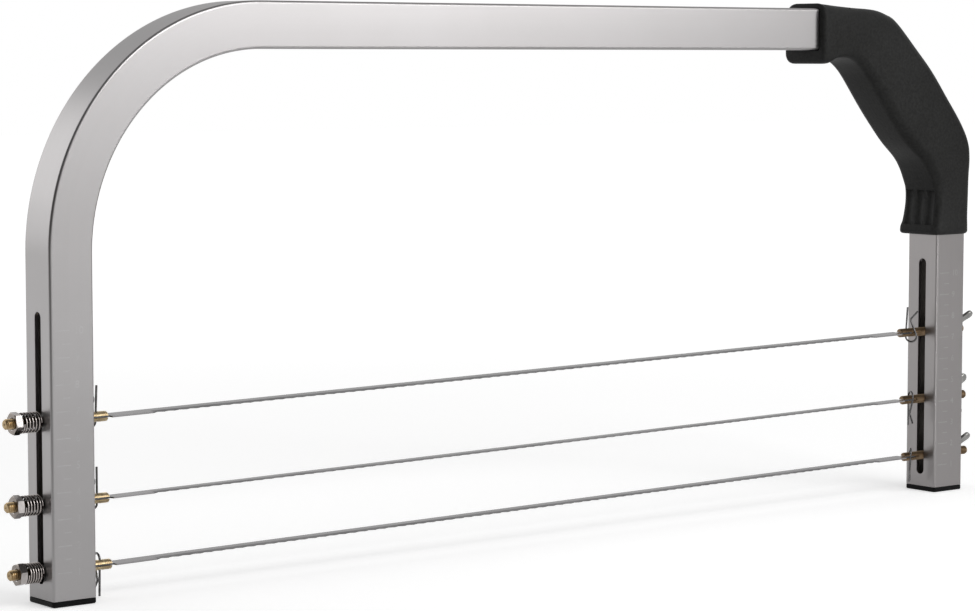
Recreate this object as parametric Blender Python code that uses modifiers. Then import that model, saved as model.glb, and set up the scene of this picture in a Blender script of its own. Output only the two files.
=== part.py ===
# Cake leveler: a bent square tube on two feet, a clamped grip on its right corner and three
# blades strung across it. Each blade hangs between two studs that slide in slots in the legs.
# A spring and a nut on the left and a wing nut on the right hold it taut.
#
# Metres, +Z up. X runs along the blades, the feet stand on z = 0 and the front is at -Y.
# The origin is on the table, below the middle of the whole object.

import math

import bmesh
import bpy
from mathutils import Matrix, Vector

mm = 0.001

# Frame tube, legs and feet
tube_size = 19.05 * mm
tube_wall = 1.6 * mm
tube_corner = 1.2 * mm
frame_width = 501.4 * mm
frame_height = 230.6 * mm
bend_radius = 96.8 * mm
slot_gap = 0.2 * mm
slot_bottom = 8.1 * mm
slot_top = 112.2 * mm
foot_flange = 2.4 * mm
foot_edge = 0.7 * mm
foot_plug_below_slot = 0.8 * mm
foot_plug_wall = 1.5 * mm

# Grip: two moulded halves around the end of the bar and the top of the right leg
grip_reach = 99.2 * mm
grip_height = 109.4 * mm
grip_wall_side = 3.3 * mm
grip_wall_top = 2.8 * mm
grip_wall_under = 3.5 * mm
grip_wall_outer = 3.0 * mm
grip_wall_inner = 1.65 * mm
grip_shell = 2.8 * mm
grip_end_edge = 1.6 * mm
bar_in_grip = 21.0 * mm
leg_in_grip = 28.0 * mm
flute_height = 16.5 * mm
flute_above_end = 4.5 * mm
flute_rib = 1.4 * mm
flute_middle = 5.6 * mm
flute_edge = 2.0 * mm
flute_floor = 0.75 * mm
corner_least = 0.3 * mm

# Grip screws, all driven in from the back
screw_head_radius = 3.1 * mm
screw_head_height = 1.9 * mm
screw_shank_radius = 1.5 * mm
screw_tip_length = 1.6 * mm
screw_recess_width = 0.9 * mm
screw_recess_depth = 1.1 * mm
screw_recess_span = 3.4 * mm
long_screw_bite = 10.6 * mm
short_screw_bite = 5.6 * mm
screw_sink = 0.6 * mm
boss_wall = 0.8 * mm

# Blades
blade_width = 6.35 * mm
blade_thickness = 0.6 * mm
blade_tang_width = 3.2 * mm
blade_tang_past_pin = 2.6 * mm
blade_tang_outside = 1.5 * mm
blade_plain_end = 24.0 * mm
tooth_pitch = 5.0 * mm
tooth_depth = 0.9 * mm

# Studs
stud_radius = 2.05 * mm
stud_chamfer = 0.7 * mm
left_stud_past_tube = 25.35 * mm
right_stud_past_tube = 24.25 * mm
stud_slot_past_tang = 1.9 * mm
stud_pin_setback = 4.8 * mm
stud_dimple_radius = 0.5 * mm
stud_dimple_depth = 0.6 * mm
stud_past_nut = 3.1 * mm

# Hairpin clips
clip_wire = 0.9 * mm
clip_long_leg = 12.3 * mm
clip_loop_radius = 2.7 * mm
clip_loop_start = 194
clip_loop_end = 391
clip_pinch_height = 6.0 * mm
clip_pinch_gap = 0.5 * mm
clip_tip_height = 10.8 * mm
clip_tip_reach = 5.1 * mm

# Nuts, wing nuts, washers and springs
nut_flats = 7.8 * mm
nut_height = 2.9 * mm
nut_chamfer = 0.6 * mm
spring_radius = 3.65 * mm
spring_wire = 0.8 * mm
spring_turns = 5.0
washer_radius = 4.9 * mm
washer_thickness = 0.8 * mm
wing_hub_radius = 4.2 * mm
wing_neck_radius = 3.3 * mm
wing_hub_height = 4.6 * mm
wing_span = 21.0 * mm
wing_height = 9.4 * mm
wing_tip_radius = 2.1 * mm
wing_thickness = 1.7 * mm

# Gaps and cuts
joint_gap = 0.3 * mm
stud_gap = 0.3 * mm
cut_overrun = 3.0 * mm
weld_distance = 0.002 * mm
flat_angle = math.radians(0.1)

# Angles in degrees
quarter_turn = 90
half_turn = 2 * quarter_turn
full_turn = 4 * quarter_turn

# The three blades, from the top one down. The two ends of a blade are set apart by hand,
# so its right end sits higher than its left. A clip points up (1) or down (-1), and its bent
# leg is turned about its straight leg, from 0 at the front of the stud to 180 behind it. How
# far a stud stands out of the inner side of its leg is left_inside or right_inside.
blade_rows = {
    "top": {
        "left_height": 70.5 * mm, "right_height": 77.1 * mm, "roll": 4.0,
        "left_inside": 10.6 * mm, "right_inside": 15.6 * mm, "nut_turn": 12.0, "wing_turn": 33.5,
        "left_clip": 1, "left_clip_turn": 180.0, "right_clip": 1, "right_clip_turn": 26.0,
    },
    "middle": {
        "left_height": 38.8 * mm, "right_height": 44.7 * mm, "roll": 0.0,
        "left_inside": 10.8 * mm, "right_inside": 13.4 * mm, "nut_turn": 24.0, "wing_turn": 9.5,
        "left_clip": 1, "left_clip_turn": 180.0, "right_clip": -1, "right_clip_turn": -23.0,
    },
    "bottom": {
        "left_height": 12.8 * mm, "right_height": 17.2 * mm, "roll": 2.0,
        "left_inside": 11.7 * mm, "right_inside": 11.95 * mm, "nut_turn": -17.0, "wing_turn": 29.0,
        "left_clip": -1, "left_clip_turn": 175.0, "right_clip": -1, "right_clip_turn": -42.0,
    },
}

# Sections of the grip, from its collar on the bar, round the corner, to its end on the leg.
# Each row holds the outer point and the inner point of a section, as shares of the way from
# the grip's ends to its faces on the bar and on the leg, then the depth at the outer and at
# the inner edge and the two corner radii, as shares of the grip's half depth.
grip_section_shares = (
    (0.000, 0.996, 0.000, 0.968, 1.03, 1.03, 0.50, 0.36),
    (0.054, 0.992, 0.071, 0.970, 1.03, 1.02, 0.50, 0.34),
    (0.128, 0.986, 0.142, 0.996, 1.01, 0.98, 0.50, 0.30),
    (0.247, 0.979, 0.232, 1.000, 0.99, 0.93, 0.53, 0.30),
    (0.365, 0.973, 0.313, 0.977, 0.97, 0.90, 0.54, 0.32),
    (0.441, 0.957, 0.378, 0.932, 0.96, 0.88, 0.55, 0.34),
    (0.508, 0.926, 0.436, 0.875, 0.96, 0.89, 0.55, 0.36),
    (0.636, 0.817, 0.553, 0.738, 0.95, 0.90, 0.55, 0.38),
    (0.744, 0.719, 0.650, 0.631, 0.95, 0.89, 0.55, 0.38),
    (0.844, 0.608, 0.760, 0.522, 0.95, 0.89, 0.55, 0.38),
    (0.941, 0.495, 0.881, 0.431, 0.96, 0.93, 0.55, 0.36),
    (0.992, 0.412, 0.938, 0.368, 0.97, 0.95, 0.55, 0.34),
    (1.004, 0.340, 0.971, 0.311, 0.98, 0.94, 0.55, 0.30),
    (1.000, 0.256, 0.994, 0.252, 0.98, 0.91, 0.55, 0.26),
    (0.998, 0.170, 0.998, 0.170, 0.98, 0.92, 0.55, 0.24),
    (0.994, 0.080, 0.984, 0.080, 0.99, 0.96, 0.55, 0.24),
    (0.993, 0.040, 0.966, 0.040, 1.00, 1.00, 0.54, 0.28),
    (0.992, 0.000, 0.960, 0.000, 1.00, 1.00, 0.52, 0.30),
)
pocket_first_row = 4
pocket_last_row = 11
flute_row = 13
rows_between = 2
corner_steps = 3

# Screws of the grip: (row, share of the way from its inner to its outer point), and how far
# up the leg's top end the lowest one is
boss_place_shares = ((7, 0.56), (10, 0.56))
leg_screw_share = 0.67

# The wing of a wing nut, from its root outwards, as shares of half the span and of the height
wing_root_low_share = 0.12
wing_root_high_share = 0.46
wing_belly_share = (0.62, 0.22)
wing_waist_share = (0.50, 0.66)
wing_tip_start = -35
wing_tip_end = 145

round_steps = 16
bend_steps = 18
curl_points = 9
wire_arc_points = 4

# Places worked out from the sizes above
half_tube = tube_size / 2
left_stud_length = tube_size + left_stud_past_tube
right_stud_length = tube_size + right_stud_past_tube
left_reach = left_stud_past_tube - min(row["left_inside"] for row in blade_rows.values())
right_stud_reach = right_stud_past_tube - min(row["right_inside"] for row in blade_rows.values())
wing_reach = washer_thickness + wing_height + 2 * joint_gap
right_reach = max(right_stud_reach, wing_reach)
left_face = -(frame_width + right_reach - left_reach) / 2
right_face = left_face + frame_width
left_inner_face = left_face + tube_size
right_inner_face = right_face - tube_size
left_leg_middle = left_face + half_tube
right_leg_middle = right_face - half_tube
bar_middle = frame_height - half_tube
bar_underside = frame_height - tube_size
grip_collar = right_face - grip_reach
grip_low_end = frame_height + grip_wall_top - grip_height
grip_half_depth = half_tube + grip_wall_side
bar_end = grip_collar + bar_in_grip
leg_top = grip_low_end + leg_in_grip
stud_bore = stud_radius + stud_gap
stud_slot = blade_thickness + 2 * joint_gap
stud_slot_depth = stud_pin_setback + blade_tang_past_pin + stud_slot_past_tang
slot_width = 2 * (stud_radius + slot_gap)
pin_hole_radius = clip_wire / 2 + joint_gap
screw_hole_radius = screw_shank_radius + joint_gap
screw_sink_radius = screw_head_radius + joint_gap
boss_radius = screw_sink_radius + boss_wall


def clear_scene():
    for item in list(bpy.data.objects):
        bpy.data.objects.remove(item, do_unlink=True)


def new_collection(name):
    collection = bpy.data.collections.new(name)
    bpy.context.scene.collection.children.link(collection)
    return collection


clear_scene()
parts = new_collection("cake_leveler")
cutters = new_collection("cutters")


def new_material(name, colour, roughness, metallic):
    material = bpy.data.materials.new(name)
    material.use_nodes = True
    shader = material.node_tree.nodes["Principled BSDF"]
    shader.inputs["Base Color"].default_value = (*colour, 1.0)
    shader.inputs["Roughness"].default_value = roughness
    shader.inputs["Metallic"].default_value = metallic
    return material


finishes = {
    "aluminium": ((0.50, 0.49, 0.48), 0.38, 1.0),
    "black_plastic": ((0.018, 0.018, 0.018), 0.55, 0.0),
    "cap_plastic": ((0.008, 0.008, 0.008), 0.35, 0.0),
    "blade_steel": ((0.46, 0.45, 0.45), 0.30, 1.0),
    "brass": ((0.60, 0.42, 0.20), 0.35, 1.0),
    "bright_steel": ((0.62, 0.60, 0.58), 0.22, 1.0),
    "spring_steel": ((0.45, 0.43, 0.41), 0.25, 1.0),
    "screw_steel": ((0.20, 0.20, 0.20), 0.40, 1.0),
}


def place(item, collection, location=(0, 0, 0), rotation=(0, 0, 0), parent=None, order="ZYX"):
    """Put an object at a place in the world, turned in degrees about the axes in the order given."""
    for old in list(item.users_collection):
        old.objects.unlink(item)
    collection.objects.link(item)
    item.parent = parent
    item.location = Vector(location) - origin_of(parent)
    item.rotation_mode = order
    item.rotation_euler = [math.radians(angle) for angle in rotation]
    return item


def origin_of(item):
    """The world place of an object whose parents are empties that don't turn."""
    place_in_world = Vector()
    while item:
        place_in_world += item.location
        item = item.parent
    return place_in_world


def finish(item, finish_name, **where):
    """Make an object a part of the leveler, with a material of its own."""
    material = new_material(item.name, *finishes[finish_name])
    item.data.materials.clear()
    item.data.materials.append(material)
    return place(item, parts, **where)


def cutter(item, **where):
    place(item, cutters, **where)
    item.hide_render = True
    item.display_type = "WIRE"
    return item


def cut(item, tool, operation="DIFFERENCE"):
    modifier = item.modifiers.new(tool.name, "BOOLEAN")
    modifier.operation = operation
    modifier.object = tool
    return item


def from_bmesh(name, shape):
    mesh = bpy.data.meshes.new(name)
    shape.to_mesh(mesh)
    shape.free()
    return bpy.data.objects.new(name, mesh)


def box(name, low, high, edge=0.0):
    """A box between two corners, with its upright and flat edges rounded if asked."""
    low, high = Vector(low), Vector(high)
    shape = bmesh.new()
    bmesh.ops.create_cube(shape, size=1)
    bmesh.ops.scale(shape, vec=high - low, verts=shape.verts)
    bmesh.ops.translate(shape, vec=(low + high) / 2, verts=shape.verts)
    item = from_bmesh(name, shape)
    if edge:
        bevel = item.modifiers.new("edge", "BEVEL")
        bevel.width = edge
        bevel.segments = 2
    return item


def prism(name, radius, low, high, sides=round_steps):
    """An upright prism or cylinder about the Z axis."""
    shape = bmesh.new()
    bmesh.ops.create_cone(
        shape, cap_ends=True, segments=sides, radius1=radius, radius2=radius, depth=high - low
    )
    bmesh.ops.translate(shape, vec=(0, 0, (low + high) / 2), verts=shape.verts)
    return from_bmesh(name, shape)


def turned(name, profile, ring=False, steps=round_steps):
    """A turned shape about the Z axis. The profile runs down its outer side."""
    mesh = bpy.data.meshes.new(name)
    last = len(profile) - 1
    edges = [(index, index + 1) for index in range(last)]
    if ring:
        edges.append((last, 0))
    mesh.from_pydata([(radius, 0, height) for radius, height in profile], edges, [])
    item = bpy.data.objects.new(name, mesh)
    screw = item.modifiers.new("turn", "SCREW")
    screw.axis = "Z"
    screw.steps = steps
    screw.render_steps = steps
    screw.use_merge_vertices = True
    screw.merge_threshold = weld_distance
    screw.use_smooth_shade = True
    return item


def smooth(item):
    item.data.shade_smooth()
    item.data.set_sharp_from_angle(angle=math.radians(35))
    return item


def curve_object(name, runs, dimensions):
    curve = bpy.data.curves.new(name, "CURVE")
    curve.dimensions = dimensions
    for points, closed in runs:
        spline = curve.splines.new("POLY")
        spline.points.add(len(points) - 1)
        for target, point in zip(spline.points, points):
            target.co = (*point, 1.0)
        spline.use_cyclic_u = closed
    return bpy.data.objects.new(name, curve)


def wire(name, points, thickness, resolution=2):
    item = curve_object(name, [(points, False)], "3D")
    item.data.bevel_depth = thickness / 2
    item.data.bevel_resolution = resolution
    item.data.use_fill_caps = True
    return item


def to_mesh(item):
    """Turn a curve object into a closed mesh object, so that it can be cut."""
    name = item.name
    cutters.objects.link(item)
    bpy.context.view_layer.update()
    evaluated = item.evaluated_get(bpy.context.evaluated_depsgraph_get())
    mesh = bpy.data.meshes.new_from_object(evaluated)
    shape = bmesh.new()
    shape.from_mesh(mesh)
    bmesh.ops.remove_doubles(shape, verts=shape.verts, dist=weld_distance)
    bmesh.ops.dissolve_limit(shape, angle_limit=flat_angle, verts=shape.verts, edges=shape.edges)
    bmesh.ops.recalc_face_normals(shape, faces=shape.faces)
    shape.to_mesh(mesh)
    shape.free()
    bpy.data.objects.remove(item, do_unlink=True)
    mesh.name = name
    return bpy.data.objects.new(name, mesh)


def plate(name, outlines, half_thickness):
    """A flat plate in X and Y with its thickness along Z: an outline, then any holes in it."""
    runs = [([(x, y, 0) for x, y in outline], True) for outline in outlines]
    item = curve_object(name, runs, "2D")
    item.data.fill_mode = "BOTH"
    item.data.extrude = half_thickness
    return to_mesh(item)


def arc(middle, radius, start, end, steps):
    """Points along an arc in a plane, with its angles in degrees."""
    points = []
    for step in range(steps + 1):
        angle = math.radians(start + (end - start) * step / steps)
        points.append((middle[0] + radius * math.cos(angle), middle[1] + radius * math.sin(angle)))
    return points


def turn_about(axis):
    return Matrix.Rotation(math.radians(quarter_turn), 4, axis)


def circle(middle, radius):
    return arc(middle, radius, 0, full_turn, round_steps)[:-1]


def rounded_square(half, corner):
    points = []
    for turn, (x_side, y_side) in enumerate(((1, 1), (-1, 1), (-1, -1), (1, -1))):
        middle = (x_side * (half - corner), y_side * (half - corner))
        points += arc(middle, corner, quarter_turn * turn, quarter_turn * (turn + 1), corner_steps)
    return points


def square_tube(name, path, half, corner):
    """A square bar with round edges that follows a path in the X-Z plane."""
    outline = [(x, y, 0) for x, y in rounded_square(half, corner)]
    section = curve_object(name + "_section", [(outline, True)], "2D")
    cutter(section)
    item = curve_object(name, [([(x, 0, z) for x, z in path], False)], "3D")
    item.data.bevel_mode = "OBJECT"
    item.data.bevel_object = section
    item.data.use_fill_caps = True
    item = to_mesh(item)
    bpy.data.objects.remove(section, do_unlink=True)
    return item


def hollow_tube(name, path, cutting_path):
    """A square tube: the bar along its path, with the bore cut along a longer one."""
    tube = square_tube(name, path, half_tube, tube_corner)
    bore_corner = tube_corner / 2
    bore = square_tube(name + "_bore", cutting_path, half_tube - tube_wall, bore_corner)
    cut(tube, cutter(bore))
    return tube


def slot_cutter(name, leg_middle):
    """The cutter of the upright slot that goes through both side walls of a leg."""
    radius = slot_width / 2
    points = arc((0, slot_top - radius), radius, 0, half_turn, corner_steps * 2)
    points += arc((0, slot_bottom + radius), radius, half_turn, full_turn, corner_steps * 2)
    tool = plate(name, [points], half_tube + cut_overrun)
    tool.data.transform(turn_about("Z") @ turn_about("X"))
    return cutter(tool, location=(leg_middle, 0, 0))


def make_frame():
    """The bent tube: the left leg, the bend and the bar, which ends in the grip."""
    bend_middle_radius = bend_radius - half_tube
    bend_centre = (left_face + bend_radius, frame_height - bend_radius)
    bend = arc(bend_centre, bend_middle_radius, half_turn, quarter_turn, bend_steps)
    path = [(left_leg_middle, foot_flange)] + bend + [(bar_end, bar_middle)]
    longer = [(left_leg_middle, foot_flange - cut_overrun)] + bend + [(bar_end + cut_overrun, bar_middle)]
    frame = hollow_tube("frame_tube", path, longer)
    cut(frame, slot_cutter("left_slot", left_leg_middle))
    cut(frame, screw_passage("bar_screw_passage", *bar_screw_place()))
    smooth(frame)
    return finish(frame, "aluminium")


def make_right_leg():
    path = [(right_leg_middle, foot_flange), (right_leg_middle, leg_top)]
    longer = [(right_leg_middle, foot_flange - cut_overrun), (right_leg_middle, leg_top + cut_overrun)]
    leg = hollow_tube("right_leg_tube", path, longer)
    cut(leg, slot_cutter("right_slot", right_leg_middle))
    cut(leg, screw_passage("leg_screw_passage", *leg_screw_place()))
    smooth(leg)
    return finish(leg, "aluminium")


def make_foot_cap(name, leg_middle):
    """A moulded cap: a flange under the tube's end and a hollow plug inside the tube."""
    top = foot_flange - joint_gap
    cap = box(name, (-half_tube, -half_tube, 0), (half_tube, half_tube, top), foot_edge)
    plug = half_tube - tube_wall - joint_gap
    plug_top = slot_bottom - foot_plug_below_slot
    plug_solid = box(name + "_plug", (-plug, -plug, top / 2), (plug, plug, plug_top))
    hollow = plug - foot_plug_wall
    hollow_low = (-hollow, -hollow, foot_flange)
    plug_hollow = box(name + "_hollow", hollow_low, (hollow, hollow, plug_top + cut_overrun))
    where = (leg_middle, 0, 0)
    cut(cap, cutter(plug_solid, location=where), "UNION")
    cut(cap, cutter(plug_hollow, location=where))
    return finish(cap, "cap_plastic", location=where)


def bar_screw_place():
    return (grip_collar + bar_in_grip / 2, bar_middle)


def leg_screw_place():
    return (right_leg_middle, grip_low_end + leg_in_grip * leg_screw_share)


def screw_passage(name, x, z):
    """A round cutter along Y, through a tube and the grip."""
    reach = grip_half_depth + cut_overrun
    tool = prism(name, screw_hole_radius, -reach, reach)
    return cutter(tool, location=(x, 0, z), rotation=(quarter_turn, 0, 0))


def grip_section_row(row):
    """The real sizes of one row: outer point, inner point, two depths and two radii."""
    outer_x, outer_z, inner_x, inner_z, deep_out, deep_in, radius_out, radius_in = row
    outer_face = right_face + grip_wall_outer
    inner_face = right_inner_face - grip_wall_inner
    outer_top = frame_height + grip_wall_top
    inner_top = bar_underside - grip_wall_under
    outer = Vector((
        grip_collar + outer_x * (outer_face - grip_collar),
        grip_low_end + outer_z * (outer_top - grip_low_end),
    ))
    inner = Vector((
        grip_collar + inner_x * (inner_face - grip_collar),
        grip_low_end + inner_z * (inner_top - grip_low_end),
    ))
    sizes = [share * grip_half_depth for share in (deep_out, deep_in, radius_out, radius_in)]
    return [outer, inner, *sizes]


def smooth_rows(rows):
    """Rows on a smooth curve through the given ones, a Catmull-Rom spline."""
    result = []
    for index in range(len(rows) - 1):
        before = rows[max(index - 1, 0)]
        here, there = rows[index], rows[index + 1]
        after = rows[min(index + 2, len(rows) - 1)]
        for step in range(rows_between):
            t = step / rows_between
            result.append([
                0.5 * (2 * b + (c - a) * t + (2 * a - 5 * b + 4 * c - d) * t * t
                       + (3 * b - a - 3 * c + d) * t * t * t)
                for a, b, c, d in zip(before, here, there, after)
            ])
    result.append(list(rows[-1]))
    return result


def grip_ring(outer, inner, deep_out, deep_in, radius_out, radius_in, inset=0.0):
    """Points around one section of the grip, drawn in by an inset."""
    across = (outer - inner).normalized()
    outer = outer - across * inset
    inner = inner + across * inset
    span = (outer - inner).length
    deep_out, deep_in = deep_out - inset, deep_in - inset
    radius_out = max(radius_out - inset, corner_least)
    radius_in = max(radius_in - inset, corner_least)
    quarters = (
        (span - radius_out, deep_out - radius_out, radius_out),
        (radius_in, deep_in - radius_in, radius_in),
        (radius_in, radius_in - deep_in, radius_in),
        (span - radius_out, radius_out - deep_out, radius_out),
    )
    ring = []
    for turn, (along, deep, radius) in enumerate(quarters):
        start = quarter_turn * turn
        for u, v in arc((along, deep), radius, start, start + quarter_turn, corner_steps):
            point = inner + across * u
            ring.append(Vector((point.x, v, point.y)))
    return ring


def loft(name, rings):
    """A closed solid through rings of points."""
    shape = bmesh.new()
    rows = [[shape.verts.new(point) for point in ring] for ring in rings]
    count = len(rows[0])
    for first, second in zip(rows, rows[1:]):
        for index in range(count):
            after = (index + 1) % count
            shape.faces.new((first[index], first[after], second[after], second[index]))
    shape.faces.new(rows[0])
    shape.faces.new(rows[-1])
    bmesh.ops.recalc_face_normals(shape, faces=shape.faces)
    return from_bmesh(name, shape)


def grip_body(name):
    """The whole grip as one solid, with its two end edges rounded."""
    rows = smooth_rows([grip_section_row(row) for row in grip_section_shares])
    rings = [grip_ring(*row) for row in rows]
    for point in rings[0]:
        point.x += grip_end_edge
    for point in rings[-1]:
        point.z += grip_end_edge
    collar_edge = grip_ring(*rows[0], inset=grip_end_edge)
    low_edge = grip_ring(*rows[-1], inset=grip_end_edge)
    return loft(name, [collar_edge, *rings, low_edge])


def boss_places():
    """Each boss: its x and z, and the depth of the grip's face there."""
    places = []
    for row, share in boss_place_shares:
        outer, inner, deep_out, deep_in = grip_section_row(grip_section_shares[row])[:4]
        point = inner.lerp(outer, share)
        places.append((point.x, point.y, deep_in + (deep_out - deep_in) * share))
    return places


def make_grip_half(name, side):
    """One moulded half of the grip: side is -1 for the front and 1 for the back."""
    half = grip_body(name)
    seam = side * joint_gap / 2
    far = -side * (grip_half_depth + cut_overrun)
    low, high = min(seam, far), max(seam, far)
    trim = box(
        name + "_trim",
        (grip_collar - cut_overrun, low, grip_low_end - cut_overrun),
        (right_face + grip_wall_outer + cut_overrun, high, frame_height + grip_wall_top + cut_overrun),
    )
    cut(half, cutter(trim))

    room = half_tube + joint_gap
    bar_room = box(
        name + "_bar_room",
        (grip_collar - cut_overrun, -room, bar_middle - room),
        (bar_end + joint_gap, room, bar_middle + room),
    )
    cut(half, cutter(bar_room))
    leg_room = box(
        name + "_leg_room",
        (right_leg_middle - room, -room, grip_low_end - cut_overrun),
        (right_leg_middle + room, room, leg_top + joint_gap),
    )
    cut(half, cutter(leg_room))

    rows = smooth_rows([grip_section_row(row) for row in grip_section_shares])
    hollow = rows[pocket_first_row * rows_between:pocket_last_row * rows_between + 1]
    pocket = loft(name + "_pocket", [grip_ring(*row, inset=grip_shell) for row in hollow])
    cut(half, cutter(pocket))

    for number, (x, z, face) in enumerate(boss_places()):
        root = side * (face - grip_shell / 2)
        boss = prism(f"{name}_boss_{number}", boss_radius, min(root, seam), max(root, seam))
        cut(half, cutter(boss, location=(x, 0, z), rotation=(-quarter_turn, 0, 0)), "UNION")

    for number, (x, z, seat, length) in enumerate(screw_places()):
        tip = seat - length - joint_gap
        passage = prism(f"{name}_passage_{number}", screw_hole_radius, tip, seat)
        cut(half, cutter(passage, location=(x, 0, z), rotation=(-quarter_turn, 0, 0)))
        if side > 0:
            sink_end = seat + grip_half_depth
            sink = prism(f"{name}_sink_{number}", screw_sink_radius, seat - joint_gap, sink_end)
            cut(half, cutter(sink, location=(x, 0, z), rotation=(-quarter_turn, 0, 0)))

    for number, (low, high) in enumerate(flute_spans()):
        flute = box(
            f"{name}_flute_{number}",
            (right_inner_face - grip_wall_inner - grip_wall_under, low, grip_low_end + flute_above_end),
            (right_inner_face - joint_gap - flute_floor, high, grip_low_end + flute_above_end + flute_height),
        )
        cut(half, cutter(flute))
    smooth(half)
    return finish(half, "black_plastic")


def flute_spans():
    """The three upright hollows in the inner face, just above the grip's lower end."""
    middle = flute_middle / 2
    start = middle + flute_rib
    inner_depth = grip_section_row(grip_section_shares[flute_row])[3]
    end = inner_depth - flute_edge
    return ((-end, -start), (-middle, middle), (start, end))


def screw_places():
    """Each grip screw: x, z, the depth of its head's seat and its length."""
    sunk = screw_head_height + screw_sink
    long_seat = grip_half_depth - sunk
    places = [(*bar_screw_place(), long_seat, long_seat + long_screw_bite)]
    places += [(x, z, face - sunk, face - sunk + short_screw_bite) for x, z, face in boss_places()]
    places.append((*leg_screw_place(), long_seat, long_seat + long_screw_bite))
    return places


def make_grip_screw(name, x, z, seat, length):
    """A pan-head screw, driven in from the back, with a cross recess in its head."""
    dome = screw_head_radius / 2
    profile = [
        (0, screw_head_height),
        (dome, screw_head_height),
        (screw_head_radius, screw_head_height / 2),
        (screw_head_radius, 0),
        (screw_shank_radius, 0),
        (screw_shank_radius, screw_tip_length - length),
        (0, -length),
    ]
    screw = turned(name, profile)
    where = {"location": (x, seat + joint_gap, z), "rotation": (-quarter_turn, 0, 0)}
    half_span, half_width = screw_recess_span / 2, screw_recess_width / 2
    floor = screw_head_height - screw_recess_depth
    top = screw_head_height + cut_overrun
    for label, (a, b) in (("a", (half_span, half_width)), ("b", (half_width, half_span))):
        cross = box(f"{name}_recess_{label}", (-a, -b, floor), (a, b, top))
        cut(screw, cutter(cross, **where))
    return finish(screw, "screw_steel", **where)


def make_stud(name, length, where):
    """A threaded rod's plain solid: +Z is its inner end, which is slotted for the blade."""
    profile = [
        (0, 0),
        (stud_radius - stud_chamfer, 0),
        (stud_radius, -stud_chamfer),
        (stud_radius, stud_chamfer - length),
        (stud_radius - stud_chamfer, -length),
        (stud_dimple_radius, -length),
        (0, stud_dimple_depth - length),
    ]
    stud = turned(name, profile)
    half_slot = stud_slot / 2
    wide = stud_radius + cut_overrun
    slot = box(name + "_slot", (-half_slot, -wide, -stud_slot_depth), (half_slot, wide, cut_overrun))
    cut(stud, cutter(slot, **where))
    hole = prism(name + "_hole", pin_hole_radius, -wide, wide)
    hole.data.transform(turn_about("Y"))
    hole.data.transform(Matrix.Translation((0, 0, -stud_pin_setback)))
    cut(stud, cutter(hole, **where))
    return finish(stud, "brass", **where)


def blade_outline(length):
    """The outline of a blade from pin to pin, with a narrow tang and a plain run at each end."""
    half, tang = blade_width / 2, blade_tang_width / 2
    tang_end = stud_pin_setback + blade_tang_outside
    shoulder = tang_end + half - tang
    run_start = blade_plain_end
    run_end = length - blade_plain_end
    teeth = max(int((run_end - run_start) / tooth_pitch), 1)
    pitch = (run_end - run_start) / teeth
    front = [(-blade_tang_past_pin, -tang), (tang_end, -tang), (shoulder, -half), (run_start, -half)]
    for tooth in range(teeth):
        start = run_start + tooth * pitch
        front.append((start + pitch / 2, tooth_depth - half))
        front.append((start + pitch, -half))
    front += [(length - shoulder, -half), (length - tang_end, -tang)]
    front.append((length + blade_tang_past_pin, -tang))
    back = [
        (length + blade_tang_past_pin, tang), (length - tang_end, tang), (length - shoulder, half),
        (shoulder, half), (tang_end, tang), (-blade_tang_past_pin, tang),
    ]
    return front + back


def make_blade(name, length, where):
    """A blade that lies flat in X and Y, from the pin at its origin to the one at its length."""
    pin_holes = [circle((along, 0), pin_hole_radius) for along in (0, length)]
    blade = plate(name, [blade_outline(length), *pin_holes], blade_thickness / 2)
    return finish(blade, "blade_steel", **where)


def clip_points():
    """A hairpin clip: a straight leg through the stud, a round loop and a bent leg."""
    low = -stud_radius
    turn = math.radians(clip_loop_start)
    middle = (-clip_loop_radius * math.cos(turn), low - clip_loop_radius * math.sin(turn))
    pinch = clip_wire + clip_pinch_gap
    route = [(0.0, clip_long_leg)]
    route += arc(middle, clip_loop_radius, clip_loop_start, clip_loop_end, wire_arc_points * 2)
    route += [
        (pinch, clip_pinch_height),
        (pinch + clip_pinch_gap, clip_pinch_height + clip_wire),
        (clip_tip_reach, clip_tip_height),
    ]
    return [(0, -side, height) for side, height in route]


def make_clip(name, up, where):
    """A clip at a stud's pin hole, with its legs up or down."""
    points = [(x, y, height * up) for x, y, height in clip_points()]
    return finish(wire(name, points, clip_wire), "spring_steel", **where)


def make_spring(name, length, where):
    """The tension spring between the leg and the nut, wound about Z."""
    inside = length - 2 * joint_gap - spring_wire
    pitch = inside / spring_turns
    count = round(spring_turns * curl_points)
    points = []
    for index in range(count + 1):
        turn = index / curl_points
        angle = turn * math.tau - math.pi / 2
        height = joint_gap + spring_wire / 2 + turn * pitch
        points.append((spring_radius * math.cos(angle), spring_radius * math.sin(angle), height))
    print(name, "least gap to itself", round(least_gap(points, spring_wire) / mm, 2), "mm")
    return finish(wire(name, points, spring_wire, 1), "spring_steel", **where)


def least_gap(points, thickness):
    """The least gap between one curl and the next, measured from point to segment."""
    least = None
    for first in range(len(points)):
        for second in range(first + curl_points // 2, len(points) - 1):
            a, b = Vector(points[second]), Vector(points[second + 1])
            share = max(0.0, min(1.0, (Vector(points[first]) - a).dot(b - a) / (b - a).length_squared))
            gap = (Vector(points[first]) - a.lerp(b, share)).length - thickness
            least = gap if least is None else min(least, gap)
    return least


def make_nut(name, where):
    """The hexagon nut that the spring pushes on, with its inner face at z = 0."""
    corner = nut_flats / 2 / math.cos(math.pi / 6)
    nut = prism(name, corner, 0, nut_height, 6)
    flat = nut_flats / 2
    crown = [
        (flat, nut_height), (corner + nut_chamfer, nut_height - nut_chamfer),
        (corner + nut_chamfer, nut_chamfer), (flat, 0), (stud_bore, 0), (stud_bore, nut_height),
    ]
    crown_solid = turned(name + "_crown", crown, ring=True)
    cut(nut, cutter(crown_solid, **where), "INTERSECT")
    return finish(nut, "bright_steel", **where)


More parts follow.
